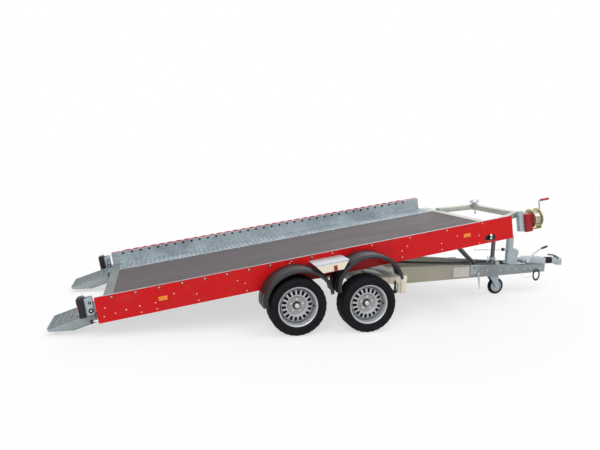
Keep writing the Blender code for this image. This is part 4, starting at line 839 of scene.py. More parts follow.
def guard_shell(wall, radius, flat, near, reach, side):
    """A mudguard's section spun over its wheel, flattened, and given its wall."""
    shape = bmesh.new()
    points = [shape.verts.new((radius * out, near + reach * share, 0))
              for out, share in GUARD_SHARES]
    line = [shape.edges.new(pair) for pair in zip(points, points[1:])]
    bmesh.ops.rotate(shape, verts=shape.verts, matrix=Matrix.Rotation(GUARD_DIP, 3, "Y"))
    bmesh.ops.spin(shape, geom=points + line, axis=(0, -1, 0), steps=GUARD_STEPS,
                   angle=math.pi + 2 * GUARD_DIP)
    bmesh.ops.remove_doubles(shape, verts=shape.verts, dist=MERGE)
    bmesh.ops.scale(shape, vec=(1, side, flat), verts=shape.verts)
    bmesh.ops.recalc_face_normals(shape, faces=shape.faces)
    outward = sum(face.normal.dot(face.calc_center_median() * Vector((1, 0, 1)))
                  for face in shape.faces)
    if outward < 0:
        bmesh.ops.reverse_faces(shape, faces=shape.faces)
    bmesh.ops.solidify(shape, geom=shape.faces[:], thickness=wall)
    return shape


class TRAILER_OT_guards(bpy.types.Operator):
    """Makes the four moulded mudguards with rolled edges, and their fixing clips"""

    bl_idname = "trailer.guards"
    bl_label = "Mudguards"

    def execute(self, context):
        wall = context.scene.trailer_sizes.guard_wall
        for word in AXLES:
            for side_word, side in SIDES.items():
                node = f"mudguard_{word}_{side_word}"
                low, high = local_box(node, BED)
                near, far = reaches(node)
                radius = (high.x - low.x) / 2
                flat = (high.z - low.z) / radius / (1 + math.sin(GUARD_SOLID_DIP))
                centre = Vector(((low.x + high.x) / 2, 0, high.z - radius * flat))
                shape = guard_shell(wall, radius, flat, near, far - near, side)
                bmesh.ops.translate(shape, vec=centre, verts=shape.verts)
                on_bed(f"{node}_shell", shape, "guard_plastic", node, sharp=40)

                shape = bmesh.new()
                for angle in (math.radians(turn) for turn in CLIP_ANGLES):
                    along = Vector((math.cos(angle), 0, math.sin(angle) * flat))
                    at = centre + along * radius * CLIP_SHARE + Vector((0, side * near, 0))
                    box(shape, around(at.x, CLIP_HALF_LENGTH), (at.y, at.y + side * CLIP_WALL),
                        around(at.z, CLIP_HALF_HEIGHT), 0.0008)
                    hex_bolt(shape, at + Vector((0, side * CLIP_WALL, 0)), (0, side, 0),
                             CLIP_BOLT)
                on_bed(f"{node}_clips", shape, "black_steel")
        return {"FINISHED"}


# Bolts along the rails' top edges, dark discs of painted shade in the holes between them, and the
# dark block of painted shade behind the hand slot
RAIL_BOLT_INSET_SHARE = 0.035
RAIL_BOLT_DROP_SHARE = 0.085
RAIL_BOLT_SHARE = 0.66
WASHER_RADIUS = 0.018
WASHER_RISE = 0.0009
# Dark discs that paint the shade in the holes between the front bolts
HOLE_SHADE_RADIUS = 0.0085
HOLE_SHADE_RISE = 0.0012
SLOT_END = 0.255
SLOT_LENGTH = 0.114
SLOT_LIFT = 0.048
# The dark block of painted shade behind the hand slot: its ends along the slot, its rise and its
# depth
SLOT_SHADE_SHARES = (-0.58, 0.30)
SLOT_SHADE_RISE = (-0.038, 0.042)
SLOT_SHADE_DEPTH = 0.016

# Lashing eyes, the dark ring of painted shade in each as shares of its radius, the dark plug of
# painted shade behind it, and the beads above them
LASHING_PITCH = 0.100
LASHING_END = 0.135
LASHING_DROP = 0.016
EYE_SHADE_RING_SHARES = ((0.98, 0), (1.4, 0), (1.45, -0.10), (1.3, -0.20), (0.98, -0.20))
EYE_RADIUS = 0.010
EYE_LEAD = 0.0003
EYE_SHADE_BACK = (0.0034, 0.006)
BEAD_SIZE = (0.036, 0.0021, 0.007)
REFLECTOR_HALF_LENGTH = 0.0375
REFLECTOR_HALF_HEIGHT = 0.019
REFLECTOR_DEPTH = 0.007
FRONT_BEAM_INSET = 0.065


class TRAILER_OT_rails(bpy.types.Operator):
    """Puts the bolts, rivets and reflectors on the side rails, with dark discs and rings of painted
    shade in their holes and lashing eyes
    """

    bl_idname = "trailer.rails"
    bl_label = "Side rails"

    def execute(self, context):
        sizes = context.scene.trailer_sizes
        for side_word, side in SIDES.items():
            low, high = local_box(f"side_panel_{side_word}", BED)
            corner = Vector((low.x, side * reaches(f"side_panel_{side_word}")[1], low.z))
            long, tall = high.x - low.x, high.z - low.z
            self.build_bolts(sizes, side_word, side, corner, long, tall)
            self.build_eyes(side_word, side)
            shape = bmesh.new()
            for along, up in RIVET_SHARES:
                at = corner + Vector((along * long, 0, up * tall))
                rivet(shape, at, (0, side, 0), sizes.rivet)
            on_bed(f"rail_rivets_{side_word}", shape, "dull_steel")
            for number, (along, up) in enumerate(REFLECTOR_SHARES):
                at = corner + Vector((along * long, 0, up * tall))
                shape = bmesh.new()
                box(shape, around(at.x, REFLECTOR_HALF_LENGTH),
                    (at.y, at.y + side * REFLECTOR_DEPTH),
                    around(at.z, REFLECTOR_HALF_HEIGHT), 0.003)
                on_bed(f"reflector_{number}_{side_word}", shape, "amber_lens")
        self.build_front_beam()
        self.build_slot_shade()
        return {"FINISHED"}

    def build_bolts(self, sizes, side_word, side, corner, long, tall):
        """Bolts along the top edge, washers under the rear ones, and dark discs of painted shade in
        the holes between the front ones.
        """
        bolts, hole_shades, washers = bmesh.new(), bmesh.new(), bmesh.new()
        out = Vector((0, side, 0))
        inset = RAIL_BOLT_INSET_SHARE * long
        pitch = (long - 2 * inset) / (sizes.rail_bolts - 1)
        for number in range(sizes.rail_bolts):
            at = corner + Vector((inset + number * pitch, 0, tall * (1 - RAIL_BOLT_DROP_SHARE)))
            if number > sizes.rail_bolts / 2 and number % 2:
                rod(hole_shades, at, at + out * HOLE_SHADE_RISE, HOLE_SHADE_RADIUS, 20)
                continue
            if number < sizes.rail_bolts / 2:
                rod(washers, at, at + out * WASHER_RISE, WASHER_RADIUS, 24)
            hex_bolt(bolts, at, out, sizes.bolt * RAIL_BOLT_SHARE)
        on_bed(f"rail_bolts_{side_word}", bolts, "dull_steel")
        on_bed(f"rail_hole_shades_{side_word}", hole_shades, "hose_rubber")
        on_bed(f"rail_washers_{side_word}", washers, "strap_paint", slot="red_paint")

    def build_slot_shade(self):
        """A dark block behind the rear part of the right rail's hand slot, painted shade in the
        slot.
        """
        low, high = local_box("side_profile_right", BED)
        middle = high.x - SLOT_END
        inner = high.y + HAIR
        shape = bmesh.new()
        box(shape, [middle + SLOT_LENGTH * share for share in SLOT_SHADE_SHARES],
            (inner, inner + SLOT_SHADE_DEPTH), [low.z + SLOT_LIFT + rise for rise in SLOT_SHADE_RISE], 0.004)
        on_bed("hand_slot_shade_block", shape, "hose_rubber")

    def build_eyes(self, side_word, side):
        """Dark rings and plugs in the lashing holes of a rail's inner side, painted shade in the
        holes, and the left rail's beads.
        """
        node = f"side_profile_{side_word}"
        low, high = local_box(node, BED)
        inner = side * reaches(node)[0]
        count = int((high.x - low.x - 2 * LASHING_END) / LASHING_PITCH) + 1
        ring = scaled(EYE_SHADE_RING_SHARES, EYE_RADIUS, EYE_RADIUS)
        z = high.z - LASHING_DROP
        start, end = (inner + side * depth for depth in EYE_SHADE_BACK)
        shape = bmesh.new()
        for number in range(count):
            x = low.x + LASHING_END + number * LASHING_PITCH
            # A dark ring and a dark plug in each hole, painted shade
            turned(shape, ring, 12, facing((x, inner - side * EYE_LEAD, z), (0, side, 0)), True)
            rod(shape, (x, start, z), (x, end, z), EYE_RADIUS * 1.2, 12)
        on_bed(f"lashing_hole_shades_{side_word}", shape, "hose_rubber")
        if side_word == "right":
            return
        low, high = local_box(f"side_panel_{side_word}", BED)
        shape = bmesh.new()
        for number in range(count - 1):
            x = low.x + LASHING_END + (number + 0.5) * LASHING_PITCH
            place = Matrix.Translation((x, (low.y + high.y) / 2, high.z - HAIR))
            bmesh.ops.create_uvsphere(shape, u_segments=20, v_segments=10, radius=1,
                                      matrix=place @ Matrix.Diagonal((*BEAD_SIZE, 1)))
        on_bed(f"rail_beads_{side_word}", shape, "rail_paint")

    def build_front_beam(self):
        """The beam across the platform's front end, between the rails."""
        low, high = local_box("front_beam", BED)
        half = reaches("side_profile_left")[0] - FRONT_BEAM_INSET
        shape = bmesh.new()
        box(shape, (low.x, high.x), (-half, half), (low.z, high.z), 0.004)
        on_bed("front_beam_skin", shape, "hoop_zinc", "front_beam")


# Studs and screws of the floor
STUD_SIZE = (0.019, 0.0085, 0.0065)
STUD_LEAN = 0.9
SCREWS = 10
SCREW_INSET = 0.03


def stud(shape, at, lean, size, top):
    """A low pressed stud with sloping sides, turned to the left or right."""
    place = Matrix.Translation(at) @ Matrix.Rotation(lean, 4, "Z")
    matrix = place @ Matrix.Diagonal((*size, 1)) @ Matrix.Translation((0, 0, 0.5))
    bmesh.ops.create_cone(shape, cap_ends=True, segments=8, radius1=1.0, radius2=top, depth=1.0,
                          matrix=matrix)


class TRAILER_OT_floor(bpy.types.Operator):
    """Puts the tread studs on the wheel tracks and the screws in the floor"""

    bl_idname = "trailer.floor"
    bl_label = "Floor and tracks"

    def execute(self, context):
        sizes = context.scene.trailer_sizes
        pitch = sizes.tread_pitch
        for side_word in SIDES:
            low, high = local_box(f"track_plate_{side_word}", BED)
            shape = bmesh.new()
            columns = int((high.x - low.x) / pitch)
            rows = int((high.y - low.y) / pitch) - 1
            margin = (high.y - low.y - (rows - 1) * pitch) / 2
            for column in range(columns):
                for row in range(rows):
                    at = (low.x + pitch * (column + 0.5), low.y + margin + pitch * row, high.z)
                    stud(shape, at, STUD_LEAN if (row + column) % 2 else -STUD_LEAN, STUD_SIZE,
                         0.45)
            on_bed(f"track_tread_{side_word}", shape, "stud_zinc")
        low, high = local_box("floor_panel", BED)
        shape = bmesh.new()
        for side in SIDES.values():
            for number in range(SCREWS):
                x = low.x + (high.x - low.x) * (number + 0.5) / SCREWS
                rivet(shape, (x, side * (high.y - SCREW_INSET), high.z), (0, 0, 1), sizes.rivet)
        on_bed("floor_screws", shape, "plated_steel")
        return {"FINISHED"}


RAMP_SHEET = 0.004
RAMP_FOLD = 0.022
RAMP_MARGIN = 0.020
RAMP_COLLAR = 0.005
RAMP_TIP_DROP = 0.036
RAMP_ROOT_GAP = 0.018
RAMP_LIP = 0.012
HINGE_INSET = 0.09
HINGE_PLAY = 0.003
HINGE_HALF_SHEET = 0.005
HINGE_RADIUS = 0.0105
CELL_SIDES = 12
CELL_HOLE = 0.013
CELL_RINGS = ((CELL_HOLE * 1.5, 0.0), (CELL_HOLE * 1.22, RAMP_COLLAR),
              (CELL_HOLE, RAMP_COLLAR * 0.9), (CELL_HOLE, -RAMP_COLLAR))


def collared_cell(shape, middle, half_x, half_y):
    """A square of sheet with a round hole and its raised collar, drawn flat."""
    angles = [math.pi / CELL_SIDES * (1 + 2 * number) for number in range(CELL_SIDES)]
    turns = [Vector((math.cos(angle), math.sin(angle), 0)) for angle in angles]
    ring = bmesh.ops.create_circle(shape, cap_ends=False, segments=CELL_SIDES, radius=1)["verts"]
    edges = list({edge for vert in ring for edge in vert.link_edges})
    for vert, turn in zip(ring, turns):
        reach = 1 / max(abs(turn.x), abs(turn.y))
        vert.co = middle + Vector((turn.x * reach * half_x, turn.y * reach * half_y, 0))
    for radius, height in CELL_RINGS:
        grown = bmesh.ops.extrude_edge_only(shape, edges=edges)["geom"]
        edges = [item for item in grown if isinstance(item, bmesh.types.BMEdge)
                 and all(vert not in ring for vert in item.verts)]
        fresh = [item for item in grown if isinstance(item, bmesh.types.BMVert)]
        ring = [min(fresh, key=lambda vert: (vert.co - old.co).length) for old in ring]
        for vert, turn in zip(ring, turns):
            vert.co = middle + turn * radius + Vector((0, 0, height))


def ramp_outline(node, hinge):
    """Side view of a ramp, as points from its root at the top round to the root below."""
    low = local_box(node, BED)[0]
    back = BED.inverted()
    points = [back @ vertex.co for vertex in frame["nodes"][node].data.vertices]
    tip = [point for point in points if point.x < low.x + MERGE * 10]
    knee = min(points, key=lambda point: point.z)
    top = max((point for point in points if point.x < hinge.x - RAMP_ROOT_GAP),
              key=lambda point: point.z)
    lip = [point for point in points if point.x < low.x + RAMP_LIP]
    tip_top = max(tip, key=lambda point: point.z)
    tip_low = min(lip, key=lambda point: point.z)
    root_low = min((point for point in points if abs(point.x - top.x) < MERGE * 10),
                   key=lambda point: point.z)
    tip_top.z -= RAMP_TIP_DROP
    return [(point.x, point.z) for point in (top, tip_top, tip_low, knee, root_low)]


class TRAILER_OT_ramps(bpy.types.Operator):
    """Makes the two loading ramps with collared grip holes, cheeks and hinge tubes"""

    bl_idname = "trailer.ramps"
    bl_label = "Loading ramps"

    def execute(self, context):
        sizes = context.scene.trailer_sizes
        for side_word in SIDES:
            node = f"ramp_{side_word}"
            hinge = joint_at(f"{node}_fold", BED)
            low, high = local_box(node, BED)
            outline = ramp_outline(node, hinge)
            self.build_deck(sizes, node, outline, low.y, high.y)
            self.build_cheeks(node, outline, low.y, high.y, hinge)
        return {"FINISHED"}

    def build_deck(self, sizes, node, outline, right, left):
        """The sheet with its rows of collared holes, and the plain border round it."""
        root, tip = Vector((*outline[0], 0)), Vector((*outline[1], 0))
        along = tip - root
        long, half = along.length, (left - right) / 2 - RAMP_MARGIN
        half_x = (long - 2 * RAMP_MARGIN) / sizes.grip_columns / 2
        half_y = half / sizes.grip_rows
        shape = bmesh.new()
        for column in range(sizes.grip_columns):
            for row in range(sizes.grip_rows):
                middle = Vector((RAMP_MARGIN + half_x * (2 * column + 1),
                                 half_y * (2 * row + 1) - half, 0))
                collared_cell(shape, middle, half_x, half_y)
        bmesh.ops.remove_doubles(shape, verts=shape.verts, dist=MERGE * 2)
        place = (Matrix.Translation((root.x, (right + left) / 2, root.y))
                 @ Matrix.Rotation(-math.atan2(along.y, along.x), 4, "Y")
                 @ Matrix.Scale(-1, 4, (0, 0, 1)) @ Matrix.Translation((0, 0, -RAMP_COLLAR * 1.2)))
        bmesh.ops.transform(shape, matrix=place, verts=shape.verts)
        sheet = bmesh.new()
        margins = (((0, RAMP_MARGIN), (-half, half)), ((long - RAMP_MARGIN, long), (-half, half)),
                   ((0, long), (-half - RAMP_MARGIN, -half)),
                   ((0, long), (half, half + RAMP_MARGIN)))
        for x_span, y_span in margins:
            box(sheet, x_span, y_span, around(0, RAMP_SHEET / 2))
        bmesh.ops.transform(sheet, matrix=place, verts=sheet.verts)
        # The deck takes the darker copy of the ramp's zinc, painted shade
        keep(f"{node}_border", sheet, "ramp_zinc", node, BED)
        made = keep(f"{node}_grip", shape, "ramp_zinc", node, BED, (node,), sharp=50)
        wall = made.modifiers.new("sheet", "SOLIDIFY")
        wall.thickness = RAMP_SHEET * 0.5
        wall.offset = 0.0

    def build_cheeks(self, node, outline, right, left, hinge):
        """The cheeks with their folds, the plates at tip and root, and the hinge tube."""
        top, tip_top, tip_low, knee, root_low = outline
        shape = bmesh.new()
        for outer, inward in ((right, 1), (left, -1)):
            plate(shape, outline, "XZ", sorted((outer, outer + inward * RAMP_SHEET)), 0.001)
            plate(shape, [knee, root_low, (root_low[0], root_low[1] + RAMP_SHEET),
                          (knee[0], knee[1] + RAMP_SHEET)], "XZ",
                  sorted((outer, outer + inward * RAMP_FOLD)))
        inside = (right + RAMP_SHEET, left - RAMP_SHEET)
        plate(shape, [tip_top, tip_low, (tip_low[0] + RAMP_SHEET, tip_low[1]),
                      (tip_top[0] + RAMP_SHEET, tip_top[1])], "XZ", inside)
        ends = around((right + left) / 2, (left - right) / 2 - HINGE_INSET)
        rod(shape, (hinge.x, ends[0], hinge.z), (hinge.x, ends[1], hinge.z), HINGE_RADIUS, 24)
        box(shape, (top[0] + 0.001, hinge.x), (ends[0] + HINGE_PLAY, ends[1] - HINGE_PLAY),
            around(hinge.z, HINGE_HALF_SHEET))
        box(shape, (top[0] - RAMP_SHEET, top[0]), inside, (root_low[1], top[1] - HINGE_PLAY))
        # The cheeks take the lighter copy of the ramp's zinc, painted light
        keep(f"{node}_cheeks", shape, "cheek_zinc", node, BED)


LAMP_DEPTH = 0.062
LAMP_TOP_DROP = 0.038
LAMP_LIFT = {"right": 0.026, "left": 0.0}
LAMP_BRACKET_GAP = 0.0006
LAMP_WALL = 0.004
LAMP_BLADE = 0.003
LENS_FIELD_SHARES = (("red_lens", 0.04, 0.36), ("amber_lens", 0.39, 0.66),
                     ("clear_lens", 0.69, 0.80), ("red_lens", 0.83, 0.96))
LENS_INSET = 0.010
GROMMETS = ((0.048, 0.021), (0.118, 0.013))
GROMMET_LINE = ((0, 0), (1, 0), (1, 0.003), (0.8, 0.006), (0.6, 0.006), (0.55, 0.002),
                (0, 0.002))
LAMP_KNOB_LINE = ((0, 0), (0.017, 0.003), (0.019, 0.014), (0.012, 0.028), (0, 0.030))


class TRAILER_OT_lamps(bpy.types.Operator):
    """Makes the rear lamp units with their lenses, brackets and marker stalks"""

    bl_idname = "trailer.lamps"
    bl_label = "Rear lamps"

    def execute(self, context):
        for side_word, side in SIDES.items():
            node = f"rear_lamp_{side_word}"
            low, high = local_box(node, BED)
            near, far = (side * reach for reach in reaches(node))
            inner = side * (reaches(f"side_profile_{side_word}")[0] - LAMP_BRACKET_GAP)
            lift = LAMP_LIFT[side_word]
            first = Vector((low.x, near, low.z + lift))
            last = Vector((high.x, far, high.z + lift - LAMP_TOP_DROP))
            self.build_lenses(node, side, first, last)
            self.build_bracket(node, side, first, last, inner)
            self.build_fixings(node, side, first, last, inner, low.z)
        return {"FINISHED"}

    def build_lenses(self, node, side, first, last):
        """The housing, and its lenses as fields from the top down."""
        shape = bmesh.new()
        box(shape, (first.x + 0.006, first.x + LAMP_DEPTH), (first.y, last.y),
            (first.z, last.z), 0.010, 3)
        on_bed(f"{node}_housing", shape, "lamp_plastic", node)
        tall = last.z - first.z
        for number, (material, start, end) in enumerate(LENS_FIELD_SHARES):
            shape = bmesh.new()
            box(shape, (first.x + HAIR, first.x + 0.012),
                (first.y + side * LENS_INSET, last.y - side * LENS_INSET),
                (last.z - tall * end, last.z - tall * start), 0.004, 3)
            on_bed(f"{node}_lens_{number}", shape, material)

    def build_bracket(self, node, side, first, last, inner):
        """The plates that carry the lamp from the rail's rear end."""
        front, rear = first.x + LAMP_DEPTH, last.x - HAIR
        arm = (first.z + 0.012, first.z + 0.044)
        spans = [
            ((front - LAMP_WALL, rear), (inner - side * LAMP_WALL, inner),
             (first.z + 0.02, first.z + 0.047)),
            ((front - LAMP_WALL, front), (first.y + side * 0.008, last.y - side * 0.012),
             (first.z + 0.008, last.z - 0.03)),
            ((front, rear), (inner - side * 0.030, inner - side * 0.034), arm),
            ((last.x - 0.007, rear), (first.y + side * 0.012, inner), arm),
        ]
        for y in (first.y + side * 0.016, last.y - side * 0.019):
            spans.append(((front - 0.002, last.x - 0.020), (y, y + side * LAMP_BLADE),
                          (first.z + 0.014, last.z - 0.012)))
        shape = bmesh.new()
        for span in spans:
            box(shape, *span, 0.001)
        on_bed(f"{node}_bracket", shape, "bed_zinc")

    def build_fixings(self, node, side, first, last, inner, foot):
        """Rubber grommets with their bolts, the marker's stalk, and the stop under the rail."""
        front = first.x + LAMP_DEPTH
        shape, bolts = bmesh.new(), bmesh.new()
        for face, out in ((first.y + side * 0.016, -side), (last.y - side * 0.016, side)):
            for height, radius in GROMMETS:
                at = Vector(((front + last.x) / 2, face, first.z + height))
                turned(shape, scaled(GROMMET_LINE, radius, 1), 28, facing(at, (0, out, 0)))
                rivet(bolts, at + Vector((0, out * 0.002, 0)), (0, out, 0), radius * 0.42)
        stalk = Vector((front - 0.012, (first.y + last.y) / 2, last.z))
        rod(bolts, stalk - Vector((0, 0, 0.002)), stalk + Vector((0, 0, 0.028)), 0.003, 12)
        knob = Vector((last.x - HAIR, inner + side * 0.016, foot - 0.022))
        rod(bolts, knob, knob - Vector((0.050, 0, 0)), 0.009, 16)
        turned(shape, LAMP_KNOB_LINE, 24, facing(knob - Vector((0.040, 0, 0)), (-1, 0, 0)))
        on_bed(f"{node}_grommets", shape, "hose_rubber")
        on_bed(f"{node}_bolts", bolts, "plated_steel")


COVER_DEPTH = 0.088
COVER_INSET = 0.020
COVER_ROUND = 0.014
COVER_RIVET_DROP = 0.03
COVER_RIVET_INSET = 0.012
COVER_RIVET = 0.006
BEARING_BACK = 0.023
BEARING_INSET = 0.013
BEARING_RISE = 0.020
BEARING_DROP = 0.01
BEARING_TOP_SHARE = 0.45
TIE_GAP = 0.007
WINCH_PLATE = 0.005
WINCH_TIE = 0.006
DRUM_WALL = 0.006
DRUM_EDGE = 0.0035
DRUM_SHARE = 0.985
WOUND_SHARE = 0.74
CABLE_SIDES = 8
CABLE_MARGIN = 0.007
CORE_SHARE = 0.55
CRANK_END = 0.014
CRANK_HALF_WALL = 0.004
CRANK_HALF_WIDTH = 0.010
CRANK_FOOT = 0.012
CRANK_SHAFT_RADIUS = 0.0078
CRANK_NUT = 0.016
CRANK_PIN_RADIUS = 0.006
GRIP_START = 0.014


class TRAILER_OT_winch(bpy.types.Operator):
    """Makes the winch: cover, bearing frame, drum with its wound cable, and crank"""

    bl_idname = "trailer.winch"
    bl_label = "Winch"

    def execute(self, context):
        sizes = context.scene.trailer_sizes
        axis = joint_at("winch_drum_turn", BED)
        crank = joint_at("winch_crank_turn", BED)
        low, high = local_box("winch_drum", BED)
        radius = (high.z - low.z) / 2
        plate_front = crank.x - BEARING_BACK
        self.build_cover(sizes, axis, radius, plate_front)
        long = plate_front - WINCH_PLATE - 0.006 - axis.x
        self.build_drum(sizes, facing(axis, (1, 0, 0)), radius * DRUM_SHARE, long)
        self.build_crank(crank)
        return {"FINISHED"}

    def build_cover(self, sizes, axis, radius, plate_front):
        """The cover with its rivets, and the frame that bears the drum's front end."""
        low, high = local_box("winch_cover", BED)
        front = low.x + COVER_DEPTH
        half = (high.y - low.y) / 2
        shape = bmesh.new()
        box(shape, (low.x, front), (low.y, high.y), (low.z, high.z), COVER_ROUND, 4)
        box(shape, (low.x + COVER_INSET, front - COVER_INSET), (low.y + HAIR, high.y - HAIR),
            (low.z + COVER_INSET, high.z - COVER_INSET), 0.004)
        for z in (low.z + COVER_RIVET_DROP, high.z - COVER_RIVET_DROP):
            for y in around(axis.y, half - COVER_RIVET_INSET):
                rivet(shape, (front, y, z), (1, 0, 0), COVER_RIVET)
        on_bed("winch_cover_shell", shape, "winch_paint", "winch_cover")

        wide = half - BEARING_INSET
        right, left = around(axis.y, wide)
        tie_top = axis.z - radius - TIE_GAP
        tie_low = tie_top - WINCH_TIE
        shape = bmesh.new()
        box(shape, (front - 0.004, plate_front), (right, left), (tie_low, tie_top), 0.001)
        top_right, top_left = around(axis.y, wide * BEARING_TOP_SHARE)
        outline = [(right, tie_low), (left, tie_low), (left, axis.z - BEARING_DROP),
                   (top_left, axis.z + BEARING_RISE), (top_right, axis.z + BEARING_RISE),
                   (right, axis.z - BEARING_DROP)]
        plate(shape, outline, "YZ", (plate_front - WINCH_PLATE, plate_front), 0.001)
        hex_bolt(shape, (plate_front, axis.y, axis.z), (1, 0, 0), sizes.bolt)
        for y in around(axis.y, wide * 0.7):
            hex_bolt(shape, (plate_front, y, tie_top + 0.012), (1, 0, 0), sizes.bolt * 0.65)
        on_bed("winch_bracket", shape, "yellow_zinc")

    def build_drum(self, sizes, place, flange, long):
        """The drum between its flanges, and two layers of cable wound on it."""
        wound = flange * WOUND_SHARE
        core = wound * CORE_SHARE
        half = [(0, 0), (flange * 0.96, 0), (flange, 0), (flange, DRUM_EDGE),
                (flange * 0.97, DRUM_WALL), (core, DRUM_WALL)]
        shape = bmesh.new()
        turned(shape, half + [(radius, long - along) for radius, along in reversed(half)], 64,
               place)
        keep("winch_drum_flanges", shape, "yellow_zinc", "winch_drum", BED, ("winch_drum",))
        cable = sizes.cable
        turns = int((long - 2 * CABLE_MARGIN) / cable)
        shape = bmesh.new()
        for layer, radius in enumerate((wound - cable * 0.5, wound - cable * 1.4)):
            for number in range(turns - layer):
                middle = CABLE_MARGIN + cable * (number + 0.5 + layer * 0.5)
                angles = [2 * math.pi * side / CABLE_SIDES for side in range(CABLE_SIDES)]
                circle = [(radius + math.cos(angle) * cable / 2,
                           middle + math.sin(angle) * cable / 2) for angle in angles]
                turned(shape, circle, 48, place, closed=True)
        keep("winch_cable", shape, "cable_steel", "winch_drum", BED)

    def build_crank(self, crank):
        """The crank's arm on its shaft, and its grip."""
        high = local_box("winch_crank", BED)[1]
        reach = high.z - CRANK_END
        shape = bmesh.new()
        box(shape, around(crank.x, CRANK_HALF_WALL), around(crank.y, CRANK_HALF_WIDTH),
            (crank.z - CRANK_FOOT, reach + 0.004), 0.0015)
        rod(shape, (crank.x - 0.026, crank.y, crank.z), (crank.x + 0.006, crank.y, crank.z),
            CRANK_SHAFT_RADIUS)
        hex_bolt(shape, (crank.x + CRANK_HALF_WALL, crank.y, crank.z), (1, 0, 0), CRANK_NUT)
        rod(shape, (crank.x, crank.y, reach), (high.x - 0.004, crank.y, reach),
            CRANK_PIN_RADIUS)
        keep("winch_crank_arm", shape, "plated_steel", "winch_crank", BED, ("winch_crank",))
        grip = high.x - crank.x - GRIP_START
        line = ((0.0062, 0), (0.0125, 0.002), (0.0135, 0.02), (0.0122, grip * 0.5),
                (0.0135, grip - 0.02), (0.0125, grip - 0.002), (0.0, grip))
        shape = bmesh.new()
        turned(shape, line, 28, facing((crank.x + GRIP_START, crank.y, reach), (1, 0, 0)))
        keep("winch_crank_grip", shape, "red_plastic", "winch_crank", BED)


NOSE_BAR_DEPTH = 0.060
NOSE_BAR_GAP = 0.0003
PULLEY_SIDE = 0.390
PULLEY_RADIUS = 0.056
PULLEY_HEIGHT = 0.072
PULLEY_SHARES = ((0, 0.05), (0.92, 0.05), (0.92, 0.16), (0.48, 0.22), (0.48, 0.38), (1.0, 0.42),
                 (1.0, 0.56), (0.95, 0.72), (0.76, 0.89), (0.36, 0.985), (0, 1.0))
FOOT_SPREAD = 0.605
FOOT_HALF = 0.055
FOOT_WALL = 0.008
FOOT_BOLTS = 0.044


class TRAILER_OT_hoop(bpy.types.Operator):
    """Makes the nose bar with its end caps and pulley, and the feet of the nose frame"""

    bl_idname = "trailer.hoop"
    bl_label = "Nose frame"

    def execute(self, context):
        arm_low, arm_high = local_box("hoop_arm_left", BED)
        bottom, top = arm_low.z, arm_high.z
        rear = arm_high.x + NOSE_BAR_GAP
        front = rear + NOSE_BAR_DEPTH
        low = local_box("hoop_bar", BED)[0]
        reach = abs(low.y)
        shape = bmesh.new()
        box(shape, (rear, front), around(0, reach - 0.003), (bottom, top), 0.006, 3)
        on_bed("nose_bar", shape, "hoop_zinc", "hoop_bar")
        shape = bmesh.new()
        for side in SIDES.values():
            box(shape, (rear + 0.001, front - 0.001), (side * (reach - 0.0035), side * reach),
                (bottom + 0.001, top - 0.001), 0.001)
        on_bed("nose_bar_caps", shape, "lamp_plastic")

        middle = Vector(((rear + front) / 2, PULLEY_SIDE, 0))
        place = Matrix.Translation(middle + Vector((0, 0, top)))
        shape = bmesh.new()
        turned(shape, scaled(PULLEY_SHARES, PULLEY_RADIUS, PULLEY_HEIGHT), 48, place)
        on_bed("nose_pulley", shape, "plated_steel")
        shape = bmesh.new()
        foot = middle + Vector((0, 0, low.z))
        rod(shape, foot, middle + Vector((0, 0, top + 0.005)), 0.0095, 24)
        hex_bolt(shape, middle + Vector((0, 0, bottom)), (0, 0, -1), 0.024)
        rod(shape, foot, foot + Vector((0, 0, 0.018)), 0.0135, 24)
        on_bed("nose_pulley_stem", shape, "plated_steel")

        foot = arm_low.x
        shape = bmesh.new()
        for side in SIDES.values():
            box(shape, (foot - 0.0002, foot + FOOT_WALL), around(side * FOOT_SPREAD, FOOT_HALF),
                (bottom - 0.012, top - HAIR), 0.002)
            for y in around(FOOT_SPREAD, FOOT_BOLTS):
                for z in (bottom + 0.004, top - 0.016):
                    hex_bolt(shape, (foot + FOOT_WALL, side * y, z), (1, 0, 0), 0.013)
        on_bed("nose_frame_feet", shape, "bed_zinc")
        return {"FINISHED"}


STEP_FACE = 0.003
STEP_COLUMNS = 12
STEP_ROWS = 8
STEP_STUD = (0.009, 0.0035, 0.0022)
STEP_LEAN = 0.8
STEP_TRIM_SHARE = 0.14
STEP_SHEET = 0.0012
STRAP_LEAD = 0.022
STRAP_WIDTH = 0.034
STRAP_RISE_SHARE = 0.62


